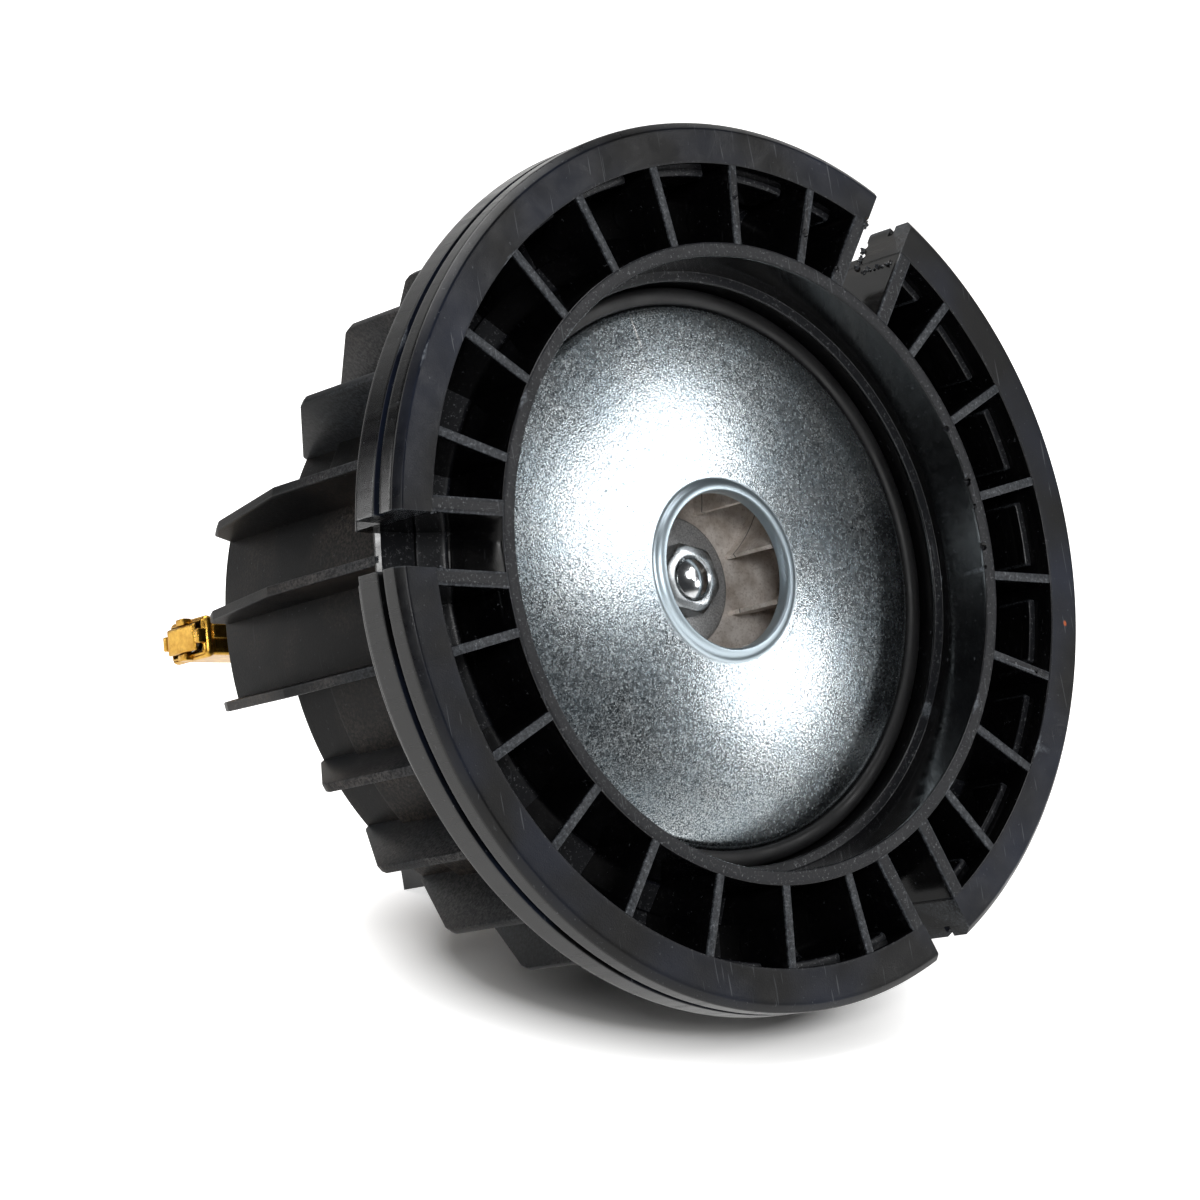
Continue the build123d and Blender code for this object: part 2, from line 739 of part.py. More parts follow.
def field_coil():
    """Taped upper coil: a saddle round its pole, with a rounded head at each end."""
    start = core_start - coil_overhang
    end = core_end + coil_overhang
    coil = sector(coil_inner_radius, coil_outer_radius, quarter - coil_half_angle, quarter + coil_half_angle,
                  start, end)
    pole = sector(coil_inner_radius - overrun, coil_outer_radius + overrun, quarter - coil_pole_half_angle,
                  quarter + coil_pole_half_angle, core_start - bobbin_wall, core_end + bobbin_wall)
    coil -= pole
    corners = coil.edges().filter_by(GeomType.CIRCLE).filter_by(
        lambda edge: abs(edge.radius - coil_outer_radius) < fit_gap)
    ends = [edge for edge in corners
            if edge.center().Z > -start - fit_gap or edge.center().Z < -end + fit_gap]
    return fillet(ends, coil_round)


def coil_bobbin():
    """Insulating trough that holds the upper coil: a floor under it and a flange at each end."""
    floor_top = coil_inner_radius - fit_gap
    flange_depth = coil_overhang + bobbin_flange
    start = core_start - flange_depth
    end = core_end + flange_depth
    first = quarter - bobbin_half_angle
    last = quarter + bobbin_half_angle
    rim = coil_outer_radius + bobbin_rim
    trough = sector(floor_top - bobbin_wall, rim, first, last, start, end)
    room = sector(floor_top, rim + overrun, first - overrun, last + overrun,
                  core_start - coil_overhang - fit_gap, core_end + coil_overhang + fit_gap)
    pole = sector(floor_top - bobbin_wall - overrun, window_outer_radius, quarter - pole_half_angle - 1,
                  quarter + pole_half_angle + bobbin_mouth_angle, core_start - fit_gap, core_end + fit_gap)
    return trough - room - pole


def terminal_tabs():
    """Two blade terminals that stand on the rear flange of the upper bobbin."""
    start = core_end + coil_overhang + bobbin_flange
    tab = block((-tab_width / 2, tab_width / 2), (tab_height, tab_height + tab_thickness),
                (start, start + tab_length))
    return Compound(children=[(Pos(x, 0, 0) * tab).solid() for x in (-tab_spacing / 2, tab_spacing / 2)])


def rear_bracket():
    """Bridge over the field: two legs screwed to it, two arms, the bearing cup and a wing by each brush."""
    arm_front = arm_depth - arm_thickness
    width = (-arm_half_width, arm_half_width)
    wing_front = brush_depth + holder_half_height()
    arm = block(width, (rear_hub_radius - leg_thickness, arm_reach), (arm_front, arm_depth))
    leg = block(width, (arm_reach - leg_thickness, arm_reach), (core_end, arm_depth))
    foot = block(width, (foot_inner, arm_reach), (core_end, core_end + foot_thickness))
    side = arm.fuse(leg, foot)
    wing = block((0, wing_reach), (-holder_half_width, holder_half_width),
                 (wing_front, wing_front + wing_thickness))
    hub = rod(rear_hub_radius, wing_front, rear_hub_end)
    bracket = hub.fuse(side, mirror(side, about=Plane.XZ), polar(brush_angle, wing),
                       polar(brush_angle + turn / 2, wing))
    bracket -= rod(rear_hub_bore, wing_front - overrun, rear_bearing_depth + overrun)
    bracket -= rod(bearing_outer_radius + fit_gap, rear_bearing_depth - fit_gap, rear_hub_end + overrun)
    hole = Pos(0, long_screw_circle, 0) * rod(long_screw_radius + screw_clearance, core_end - overrun,
                                              core_end + foot_thickness + overrun)
    small = rod(holder_screw_radius + screw_clearance, wing_front - overrun, wing_front + wing_thickness
                + overrun)
    cuts = [hole, mirror(hole, about=Plane.XZ)]
    cuts += [polar(angle, Pos(*place, 0) * small) for angle in brush_angles() for place in
             holder_screw_places]
    return bracket - cuts


def rear_mount_ring():
    """Rubber ring on the bearing cup, with a rounded outer edge."""
    inner = rear_hub_radius + fit_gap
    start = arm_depth + mount_ring_gap
    ring = tube(mount_ring_radius, inner, start, rear_hub_end)
    outer_edges = ring.edges().filter_by(GeomType.CIRCLE).filter_by(
        lambda edge: abs(edge.radius - mount_ring_radius) < fit_gap)
    return fillet(outer_edges, mount_ring_round)


def brush_angles():
    return (brush_angle, brush_angle + turn / 2)


def tube_half_width():
    return brush_width / 2 + brush_play + tube_wall


def tube_half_height():
    return brush_height / 2 + brush_play + tube_wall


def holder_half_height():
    return tube_half_height() + holder_wall


def centred(reach, half_width, half_height):
    """Block along +X at the brushes' depth."""
    return block(reach, (-half_width, half_width), (brush_depth - half_height, brush_depth + half_height))


def carbon_brush():
    brush = centred((0, brush_end_radius), brush_width / 2, brush_height / 2)
    face = rod(commutator_radius + brush_face_gap, brush_depth - brush_height, brush_depth + brush_height)
    return brush - face


def brush_tube():
    outside = centred((tube_start_radius, tube_end_radius), tube_half_width(), tube_half_height())
    inside = centred((tube_start_radius - overrun, tube_end_radius + overrun),
                     tube_half_width() - tube_wall, tube_half_height() - tube_wall)
    return outside - inside


def brush_clip():
    """Folded brass strip that closes the outer end of a tube, with a collar round it."""
    width = tube_half_width() + fit_gap
    height = tube_half_height() + fit_gap
    end = tube_end_radius
    plate = centred((end, end + clip_sheet), width + clip_sheet, height + clip_sheet)
    collar = centred((end - clip_collar, end), width + clip_sheet, height + clip_sheet)
    collar -= centred((end - clip_collar - overrun, end), width, height)
    fold = centred((end - clip_fold, end), width + clip_sheet, height / 2)
    fold -= centred((end - clip_fold - overrun, end), width, height)
    return plate.fuse(collar, *fold.solids())


def brush_spring():
    """Coil spring between brush and clip, as a sleeve of its outside."""
    start = brush_end_radius + spring_gap
    end = tube_end_radius - spring_gap
    sleeve = Cylinder(spring_radius, end - start) - Cylinder(spring_bore, end - start + overrun)
    return Pos((start + end) / 2, 0, -brush_depth) * (Rot(0, quarter, 0) * sleeve)


def brush_holder():
    """Moulded block round the inner half of a brush tube, screwed to the bracket's wing."""
    holder = centred((holder_start_radius, holder_end_radius), holder_half_width, holder_half_height())
    holder -= centred((holder_start_radius - overrun, holder_end_radius + overrun),
                      tube_half_width() + fit_gap, tube_half_height() + fit_gap)
    back = brush_depth + holder_half_height()
    pilot = rod(holder_screw_radius + fit_gap, back + wing_thickness - holder_screw_length, back + overrun)
    return holder - [Pos(*place, 0) * pilot for place in holder_screw_places]


def screw(radius, head_radius, head_height, head_start, tip):
    """Pan head screw whose head sits on the face at head_start."""
    head = rod(head_radius, head_start, head_start + head_height)
    return head + rod(radius, tip, head_start)


def bracket_screws():
    head_start = core_end + foot_thickness
    one = Pos(0, long_screw_circle, 0) * screw(long_screw_radius, long_head_radius, long_head_height,
                                               head_start, long_screw_end_depth + fit_gap)
    return Compound(children=[one.solid(), mirror(one, about=Plane.XZ).solid()])


def housing_screws():
    one = Pos(seat_screw_circle, 0, 0) * screw(seat_screw_radius, seat_head_radius, seat_head_height,
                                               seat_depth + seat_thickness, bracket_front_depth)
    return Compound(children=[piece.solid() for piece in around(seat_screw_count, one, quarter / 2)])


def brush_holder_screws():
    seat = brush_depth + holder_half_height() + wing_thickness
    one = screw(holder_screw_radius, holder_head_radius, holder_head_height, seat,
                seat - holder_screw_length + fit_gap)
    return Compound(children=[polar(angle, Pos(*place, 0) * one).solid() for angle in brush_angles()
                              for place in holder_screw_places])


def lower(solid):
    return mirror(solid, about=Plane.XZ)


def all_pieces():
    pieces = {
        "motor_housing": motor_housing(),
        "fan_cover": fan_cover(),
        "cover_seal_ring": cover_seal_ring(),
        "diffuser": diffuser(),
        "fan_end_bracket": fan_end_bracket(),
        "front_bearing_outer_race": outer_race(front_bearing_depth),
        "rear_bearing_outer_race": outer_race(rear_bearing_depth),
        "front_bearing_balls": ball_set(front_bearing_depth),
        "rear_bearing_balls": ball_set(rear_bearing_depth),
        "front_bearing_inner_race": inner_race(front_bearing_depth),
        "rear_bearing_inner_race": inner_race(rear_bearing_depth),
        "stator_core": stator_core(),
        "field_coil_upper": field_coil(),
        "field_coil_lower": lower(field_coil()),
        "coil_bobbin_upper": coil_bobbin(),
        "coil_bobbin_lower": lower(coil_bobbin()),
        "terminal_tabs": terminal_tabs(),
        "rear_bracket": rear_bracket(),
        "rear_mount_ring": rear_mount_ring(),
        "rotor_shaft": rotor_shaft(),
        "armature_core": armature_core(),
        "armature_winding": armature_winding(),
        "commutator_hub": commutator_hub(),
        "commutator_bars": commutator_bars(),
        "fan_spacer": fan_spacer(),
        "impeller_back_disc": impeller_back_disc(),
        "impeller_front_disc": impeller_front_disc(),
        "impeller_blades": impeller_blades(),
        "fan_washer": fan_washer(),
        "fan_nut": fan_nut(),
        "bracket_screws": bracket_screws(),
        "housing_screws": housing_screws(),
        "brush_holder_screws": brush_holder_screws(),
    }
    for side, angle in zip(("left", "right"), brush_angles()):
        pieces[f"carbon_brush_{side}"] = polar(angle, carbon_brush())
        pieces[f"brush_tube_{side}"] = polar(angle, brush_tube())
        pieces[f"brush_clip_{side}"] = polar(angle, brush_clip())
        pieces[f"brush_spring_{side}"] = polar(angle, brush_spring())
        pieces[f"brush_holder_{side}"] = polar(angle, brush_holder())
    return pieces


def resting_place(pieces):
    """Lay the unit down: two lower fins and the foot of the rear bracket touch the ground together."""
    fin_drop = fin_corner_radius * cos(radians(rib_offset_angle))
    fin_drop += fin_thickness / 2 * sin(radians(rib_offset_angle))
    tilt = degrees(atan2(fin_drop - arm_reach, arm_depth - fin_corner_depth))
    height = arm_reach * cos(radians(tilt)) + arm_depth * sin(radians(tilt))
    forward = (0, -cos(radians(tilt)), sin(radians(tilt)))
    laid = Location(Plane(origin=(0, 0, height), x_dir=(1, 0, 0), z_dir=forward))
    box = Compound(children=[laid * pieces["motor_housing"], laid * pieces["rear_bracket"]]).bounding_box()
    print("tilt", tilt, "shaft line height at the flange", height, "shift back", -box.center().Y)
    return Pos(0, -box.center().Y, 0) * laid


def main():
    pieces = all_pieces()
    place = resting_place(pieces)
    os.makedirs("parts", exist_ok=True)
    for name, piece in pieces.items():
        laid = place * piece
        solids = laid.solids()
        export_step(solids[0] if len(solids) == 1 else Compound(children=list(solids)), f"parts/{name}.step")


main()
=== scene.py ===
import json
import random
from functools import partial
from math import cos, degrees, hypot, pi, radians, sin

import bmesh
import bpy
from mathutils import Matrix, Vector


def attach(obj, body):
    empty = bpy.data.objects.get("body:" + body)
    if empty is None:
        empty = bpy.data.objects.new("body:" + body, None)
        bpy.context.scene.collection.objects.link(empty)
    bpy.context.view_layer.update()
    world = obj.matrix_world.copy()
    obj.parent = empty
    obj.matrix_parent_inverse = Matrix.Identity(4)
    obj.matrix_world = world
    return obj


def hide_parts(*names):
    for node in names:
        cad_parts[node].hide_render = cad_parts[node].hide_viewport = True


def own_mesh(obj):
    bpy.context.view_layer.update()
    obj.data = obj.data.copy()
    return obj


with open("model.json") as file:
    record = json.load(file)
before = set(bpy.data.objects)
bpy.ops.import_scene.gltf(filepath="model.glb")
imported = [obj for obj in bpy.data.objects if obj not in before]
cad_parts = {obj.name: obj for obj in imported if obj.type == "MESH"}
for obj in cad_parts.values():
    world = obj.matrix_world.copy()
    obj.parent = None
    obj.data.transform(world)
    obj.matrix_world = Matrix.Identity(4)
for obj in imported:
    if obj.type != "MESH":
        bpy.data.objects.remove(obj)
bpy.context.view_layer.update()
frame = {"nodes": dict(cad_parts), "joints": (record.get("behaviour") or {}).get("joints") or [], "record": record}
scene = bpy.context.scene
mm = 0.001

# the shaft line comes from the rotor's joint; the flange's front face lies this far out along it
spinToFlange = 66 * mm
spinJoint = next(j for j in frame["joints"] if j["name"] == "rotor_spin")
outward = Vector(spinJoint["axis"]).normalized()
rightward = Vector((1, 0, 0))
upward = outward.cross(rightward).normalized()
unitTurn = Matrix((rightward, upward, outward)).transposed()
unitCentre = Vector(spinJoint["pos_m"]) + outward * spinToFlange
unitPlace = Matrix.Translation(unitCentre) @ unitTurn.to_4x4() @ Matrix.Scale(mm, 4)


# pieces are drawn in millimetres about the shaft: Z out of the inlet, depth counted rearwards
loopGap = 0.6        # from a corner to the loop beside it
mergeGap = 0.0005    # under which two points are one
sharpFrom = 0.6      # radians between two faces, from where a sector's edge is rounded
smoothTo = 32        # degrees between two faces, up to where a piece is shaded smooth


def onUnit(radius, angle, depth):
    return (radius * cos(radians(angle)), radius * sin(radians(angle)), -depth)


def apart(angle, other):
    return abs((angle - other + 180) % 360 - 180)


def appendTo(target, part):
    mesh = bpy.data.meshes.new("part")
    part.to_mesh(mesh)
    part.free()
    target.from_mesh(mesh)
    bpy.data.meshes.remove(mesh)


def turnPart(part, angle):
    turn = Matrix.Rotation(radians(angle), 3, "Z")
    bmesh.ops.rotate(part, verts=part.verts[:], cent=(0, 0, 0), matrix=turn)


def roundEdges(part, edges, size, segments=2):
    bmesh.ops.bevel(part, geom=edges, offset=size, offset_type="OFFSET", segments=segments, profile=0.5,
                    affect="EDGES", material=-1)


def addLoops(part):
    # a point close to each end of a long line keeps wear and shading at the corners
    for edge in part.edges[:]:
        length = edge.calc_length()
        if length > 3 * loopGap:
            start, end = edge.verts
            made = bmesh.utils.edge_split(edge, start, loopGap / length)[1]
            rest = max(made.link_edges, key=lambda e: e.calc_length())
            bmesh.utils.edge_split(rest, end, loopGap / rest.calc_length())


def addInsets(part):
    # the same for the large faces of a block or plate
    large = [f for f in part.faces if min(e.calc_length() for e in f.edges) > 3 * loopGap]
    bmesh.ops.inset_individual(part, faces=large, thickness=loopGap, depth=0, use_even_offset=True)


def drawRing(corners, steps=240):
    # corners are (radius, depth, rounding), joined into a closed section and spun round the shaft
    part = bmesh.new()
    verts = [part.verts.new((radius, 0, -depth)) for radius, depth, rounding in corners]
    part.faces.new(verts)
    for size in sorted({corner[2] for corner in corners if corner[2]}):
        chosen = [v for v, corner in zip(verts, corners) if corner[2] == size]
        bmesh.ops.bevel(part, geom=chosen, offset=size, offset_type="OFFSET", segments=4, profile=0.5,
                        affect="VERTICES", material=-1)
    bmesh.ops.delete(part, geom=part.faces[:], context="FACES_ONLY")
    addLoops(part)
    bmesh.ops.spin(part, geom=part.edges[:], cent=(0, 0, 0), axis=(0, 0, 1), angle=2 * pi, steps=steps,
                   use_merge=True, use_duplicate=False)
    bmesh.ops.remove_doubles(part, verts=part.verts[:], dist=mergeGap)
    bmesh.ops.recalc_face_normals(part, faces=part.faces[:])
    return part


def addBlock(target, xRange, yRange, depthRange, rounding=0.25, angle=0.0, segments=2):
    part = bmesh.new()
    size = (xRange[1] - xRange[0], yRange[1] - yRange[0], depthRange[1] - depthRange[0])
    middle = (sum(xRange) / 2, sum(yRange) / 2, -sum(depthRange) / 2)
    bmesh.ops.create_cube(part, size=1, matrix=Matrix.Translation(middle) @ Matrix.Diagonal((*size, 1)))
    if rounding:
        roundEdges(part, part.edges[:], rounding, segments)
        addInsets(part)
    turnPart(part, angle)
    appendTo(target, part)


def addPlate(target, corners, thickness, angle, rounding):
    # corners are (radius, depth) in the plane of the shaft
    part = bmesh.new()
    face = part.faces.new([part.verts.new((radius, -thickness / 2, -depth)) for radius, depth in corners])
    grown = bmesh.ops.extrude_face_region(part, geom=[face])
    moved = [g for g in grown["geom"] if isinstance(g, bmesh.types.BMVert)]
    bmesh.ops.translate(part, verts=moved, vec=(0, thickness, 0))
    bmesh.ops.recalc_face_normals(part, faces=part.faces[:])
    roundEdges(part, part.edges[:], rounding)
    addInsets(part)
    turnPart(part, angle)
    appendTo(target, part)


def addSector(target, radii, angles, depths, rounding, steps):
    # a stretch of ring between two angles
    part = bmesh.new()
    (inner, outer), (first, last), (front, back) = radii, angles, depths
    corners = ((inner, front), (outer, front), (outer, back), (inner, back))
    face = part.faces.new([part.verts.new((radius, 0, -depth)) for radius, depth in corners])
    turnPart(part, first)
    bmesh.ops.spin(part, geom=[face], cent=(0, 0, 0), axis=(0, 0, 1), angle=radians(last - first),
                   steps=steps, use_merge=False, use_duplicate=False)
    bmesh.ops.remove_doubles(part, verts=part.verts[:], dist=mergeGap)
    bmesh.ops.recalc_face_normals(part, faces=part.faces[:])
    sharp = [e for e in part.edges if len(e.link_faces) == 2 and e.calc_face_angle() > sharpFrom]
    roundEdges(part, sharp, rounding, 3)
    appendTo(target, part)


def makePiece(name, drawn, body, slot, node):
    # sets the drawn millimetre shape down in the frame and hands it to its body
    bmesh.ops.transform(drawn, matrix=unitPlace, verts=drawn.verts[:])
    mesh = bpy.data.meshes.new(name)
    drawn.to_mesh(mesh)
    drawn.free()
    mesh.shade_smooth()
    mesh.set_sharp_from_angle(angle=radians(smoothTo))
    mesh.materials.append(finishes[slot])
    piece = bpy.data.objects.new(name, mesh)
    scene.collection.objects.link(piece)
    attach(piece, body)
    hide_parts(node)
    return piece


def cutWith(drawn, cutter):
    # takes the cutter's volume out of the drawn shape
    objects = []
    for label, shape in (("body", drawn), ("cutter", cutter)):
        mesh = bpy.data.meshes.new(label)
        shape.to_mesh(mesh)
        shape.free()
        thing = bpy.data.objects.new(label, mesh)
        scene.collection.objects.link(thing)
        objects.append(thing)
    cut = objects[0].modifiers.new("cut", "BOOLEAN")
    cut.operation = "DIFFERENCE"
    cut.solver = "EXACT"
    cut.object = objects[1]
    done = objects[0].evaluated_get(bpy.context.evaluated_depsgraph_get())
    result = bmesh.new()
    result.from_mesh(done.to_mesh())
    done.to_mesh_clear()
    for thing in objects:
        mesh = thing.data
        bpy.data.objects.remove(thing)
        bpy.data.meshes.remove(mesh)
    return result


def colour(hexValue):
    # an sRGB hex value made linear
    channels = [int(hexValue[i:i + 2], 16) / 255 for i in (1, 3, 5)]
    return tuple(c / 12.92 if c <= 0.04045 else ((c + 0.055) / 1.055) ** 2.4 for c in channels) + (1.0,)


def setInput(tree, socket, value):
    if isinstance(value, bpy.types.NodeSocket):
        tree.links.new(value, socket)
    else:
        socket.default_value = value


def addNode(tree, kind, *values, out=None, inputs=None, **settings):
    # adds a node, fills its inputs in their order or by key, and gives back the output in use
    node = tree.nodes.new("ShaderNode" + kind)
    for name, value in settings.items():
        setattr(node, name, value)
    for key, value in (*enumerate(values), *(inputs or {}).items()):
        setInput(tree, node.inputs[key], value)
    return node.outputs[out] if out else next(o for o in node.outputs if o.enabled)


def setShader(material, **values):
    shader = material.node_tree.nodes["Principled BSDF"]
    for key, value in values.items():
        setInput(material.node_tree, shader.inputs[key.replace("_", " ")], value)


def newMaterial(name, centre=unitCentre, turn=unitTurn.to_euler(), scale=(1, 1, 1), **values):
    # a Principled material, with Object coordinates turned into the unit's own, in metres, or as given
    material = bpy.data.materials.new(name)
    material.use_nodes = True
    setShader(material, **values)
    add = partial(addNode, material.node_tree)
    place = add("TexCoord", out="Object")
    return material, add, add("Mapping", place, centre, turn, scale, vector_type="TEXTURE")


def paintLayers(add, hexValue, layers):
    # paints each colour over what is under it, where its mask is set
    painted = colour(hexValue)
    for mask, over in layers:
        painted = add("Mix", inputs={0: mask, 6: painted, 7: colour(over)}, data_type="RGBA")
    return painted


def shaftRadius(add, local):
    flat = add("VectorMath", local, (1, 1, 0), operation="MULTIPLY")
    return add("VectorMath", flat, operation="LENGTH")


def spotMask(add, local, place, angle, reach, core=0.5):
    # 1 inside an ellipse of the given reach in millimetres, lying across the shaft at a place
    scale = (reach[0] * mm, reach[1] * mm, 1)
    spot = add("Mapping", local, Vector((*place, 0)) * mm, (0, 0, radians(angle)), scale,
               vector_type="TEXTURE")
    away = add("VectorMath", spot, operation="LENGTH")
    return add("MapRange", away, 1.0, core)


def mouldedNylon():
    # black glass-filled nylon: satin on the front faces, glossy on the walls that slid along the mould,
    # matt behind the flange, mottled, dusty, with fine scratches and pale rubbed edges
    material, add, local = newMaterial("glassFilledNylon")
    tilted = add("Mapping", local, (0, 0, 0), (0.5, 0.3, 0.6), (1, 0.05, 1))
    pulled = add("Mapping", local, (0, 0, 0), (0, 0, 0), (1, 1, 0.07))
    mottle = add("TexNoise", local, inputs={"Scale": 1 / (6 * mm), "Detail": 6.0, "Roughness": 0.66})
    cloud = add("TexNoise", local, inputs={"Scale": 1 / (26 * mm)})
    grain = add("TexNoise", local, inputs={"Scale": 1 / (0.4 * mm), "Detail": 3.0, "Roughness": 0.7})
    fibre = add("TexNoise", local, inputs={"Scale": 1 / (0.7 * mm), "Detail": 4.0, "Roughness": 0.8})
    dusting = add("TexNoise", local, inputs={"Scale": 1 / (1.1 * mm), "Detail": 5.0, "Roughness": 0.74})
    scratching = add("TexNoise", tilted, inputs={"Scale": 1 / (0.6 * mm), "Detail": 1.0})
    flow = add("TexNoise", pulled, inputs={"Scale": 1 / (3 * mm), "Detail": 3.0, "Roughness": 0.6})
    facing = add("VectorMath", add("NewGeometry", out="Normal"), outward, operation="DOT_PRODUCT")
    radius = shaftRadius(add, local)
    depth = add("SeparateXYZ", local, out="Z")

    # places: front faces, the front faces within the rim, what lies behind the flange, the rim's outside
    front = add("MapRange", facing, 0.5, 0.9)
    within = add("MapRange", radius, 79.6 * mm, 79.0 * mm)
    inside = add("Math", within, front, operation="MULTIPLY")
    rear = add("MapRange", depth, -21.5 * mm, -22.5 * mm)
    outside = add("MapRange", radius, 80.0 * mm, 81.0 * mm)

    # the sawn side of the upper notch
    sawn = spotMask(add, local, (48, 65), 52.5, (16, 7), 0.7)
    sawnSide = add("Math", sawn, add("MapRange", facing, 0.6, 0.2), operation="MULTIPLY")
    sawnGrain = add("Math", sawnSide, add("MapRange", rear, 1.0, 0.0), operation="MULTIPLY")
    sawnLines = add("Math", sawnGrain, add("MapRange", flow, 0.35, 0.65, 0.15, 1.0), operation="MULTIPLY")

    # bluish clouds, a mottle that is partly painted sheen; glass specks; brown spark-eroded grain, painted paler
    # as floor light; rubbed edges, dust and scratches
    paintedSheenClouds = add("Math", front, add("MapRange", cloud, 0.42, 0.7, 0.0, 0.7), operation="MULTIPLY")
    specks = add("Math", inside, add("MapRange", fibre, 0.58, 0.67), operation="MULTIPLY")
    eroded = add("Math", rear, add("MapRange", fibre, 0.42, 0.7), operation="MULTIPLY")
    # the brown spark-eroded grain, painted paler than its own colour as painted bounce light from the floor
    sparkedGrainAndBounce = add("Math", eroded, add("MapRange", cloud, 0.4, 0.62), operation="MULTIPLY")
    corners = add("MapRange", add("NewGeometry", out="Pointiness"), 0.54, 0.62)
    rubbed = add("Math", corners, add("MapRange", fibre, 0.4, 0.65, 0.15, 1.0), operation="MULTIPLY")
    scratches = add("MapRange", scratching, 0.71, 0.74, 0.0, 0.6)
    scuffs = add("Math", scratches, add("MapRange", facing, 0.5, 0.9, 0.25, 1.0), operation="MULTIPLY")
    dust = add("MapRange", dusting, 0.645, 0.70)
    either = add("Math", dust, scuffs, operation="MAXIMUM")
    marks = add("Math", either, add("MapRange", cloud, 0.3, 0.7, 0.2, 0.7), operation="MULTIPLY")
    paint = paintLayers(add, "#040404", (
        # the bluish clouds on the front faces are partly a painted sheen
        (mottle, "#08080a"), (paintedSheenClouds, "#1b2233"), (inside, "#202124"), (specks, "#77797c"),
        # this grain colour also holds painted bounce light from the floor
        (add("MapRange", fibre, 0.55, 0.8, 0.0, 0.35), "#2b2622"), (sparkedGrainAndBounce, "#4a433e"),
        (rubbed, "#6d7278"), (marks, "#6f7276"), (sawnLines, "#6a625a"),
        (spotMask(add, local, (80.3, -19.9), 0, (0.5, 0.7)), "#b0552a"),
    ))

    satin = add("MapRange", mottle, 0.3, 0.7, 0.3, 0.46)
    polished = add("MapRange", flow, 0.35, 0.65, 0.06, 0.15)
    scuffed = add("MapRange", flow, 0.35, 0.65, 0.18, 0.3)
    matt = add("MapRange", fibre, 0.3, 0.7, 0.38, 0.52)
    glossy = add("Mix", inputs={0: outside, 2: polished, 3: scuffed})
    moulded = add("Mix", inputs={0: front, 2: glossy, 3: satin})
    gloss = add("Mix", inputs={0: rear, 2: moulded, 3: matt})
    frontShine = add("MapRange", front, 0.0, 1.0, 0.4, 0.175)
    shine = add("Mix", inputs={0: rear, 2: frontShine, 3: 0.1})

    fine = add("Math", grain, mottle, operation="ADD")
    rough = add("Math", fibre, inside, operation="MULTIPLY")
    height = add("Math", fine, rough, operation="ADD")
    ground = add("Math", front, rear, operation="MAXIMUM")
    textured = add("Math", ground, sawnGrain, operation="MAXIMUM")
    raised = add("Math", height, add("MapRange", textured, 0.0, 1.0, 0.15, 1.0), operation="MULTIPLY")
    bump = add("Bump", inputs={"Height": raised, "Strength": 0.35, "Distance": 0.1 * mm})
    setShader(material, Base_Color=paint, Roughness=gloss, Specular_IOR_Level=shine, Normal=bump)
    return material


def zincSheet():
    # zinc plated pressed steel: a salt and pepper grain that glitters, smooth and bluish on the rolled
    # inlet, with one white scratch near the edge and a hairline by the inlet
    material, add, local = newMaterial("zincPlatedSteel", Metallic=1.0)
    grain = add("TexNoise", local, inputs={"Scale": 1 / (0.3 * mm), "Detail": 2.0, "Roughness": 0.6})
    blotch = add("TexNoise", local, inputs={"Scale": 1 / (9 * mm), "Detail": 3.0})
    spangle = add("TexVoronoi", local, inputs={"Scale": 1 / (0.42 * mm)}, out="Color")
    radius = shaftRadius(add, local)
    plain = add("MapRange", radius, 18.0 * mm, 19.2 * mm)
    rolled = add("MapRange", radius, 19.2 * mm, 18.0 * mm)
    pepper = add("Math", add("MapRange", grain, 0.58, 0.40), plain, operation="MULTIPLY")
    paint = paintLayers(add, "#dbe2e5", (
        (pepper, "#4b565c"), (add("MapRange", blotch, 0.35, 0.7, 0.0, 0.4), "#9fb0ba"),
        (rolled, "#c4d3dc"), (spotMask(add, local, (-8.1, 49), 92, (4.2, 0.35)), "#ffffff"),
        (spotMask(add, local, (13.8, -14.2), 42, (5.0, 0.09)), "#20262a"),
    ))
    grainGloss = add("MapRange", spangle, 0.0, 1.0, 0.15, 0.32)
    gloss = add("Mix", inputs={0: plain, 2: 0.4, 3: grainGloss})
    height = add("Math", grain, plain, operation="MULTIPLY")
    bump = add("Bump", inputs={"Height": height, "Strength": 0.42, "Distance": 0.06 * mm})
    setShader(material, Base_Color=paint, Roughness=gloss, Normal=bump)
    return material


def bladeAluminium():
    # blade sheet, dulled and stained with use, with a thin dark line of painted shade along the crease of its
    # folded tab
    creaseDepth, creaseShadeWidth = 25.6 * mm, 0.14 * mm
    material, add, local = newMaterial("bladeAluminium", Metallic=0.3)
    stain = add("TexNoise", local, inputs={"Scale": 1 / (5 * mm), "Detail": 4.0, "Roughness": 0.6})
    grain = add("TexNoise", local, inputs={"Scale": 1 / (0.5 * mm), "Detail": 3.0, "Roughness": 0.6})
    # painted shade: a thin dark line at the crease's depth
    off = add("Math", add("SeparateXYZ", local, out="Z"), creaseDepth, operation="ADD")
    away = add("Math", off, operation="ABSOLUTE")
    creaseShade = add("MapRange", away, creaseShadeWidth, creaseShadeWidth / 2)
    paint = paintLayers(add, "#c3b8ae", (
        (add("MapRange", stain, 0.35, 0.65), "#f4eee8"),
        (add("MapRange", grain, 0.5, 0.7, 0.0, 0.4), "#8d7a6b"), (creaseShade, "#17110d"),
    ))
    gloss = add("MapRange", stain, 0.3, 0.7, 0.32, 0.5)
    bump = add("Bump", inputs={"Height": grain, "Strength": 0.3, "Distance": 0.03 * mm})
    setShader(material, Base_Color=paint, Roughness=gloss, Normal=bump)
    return material


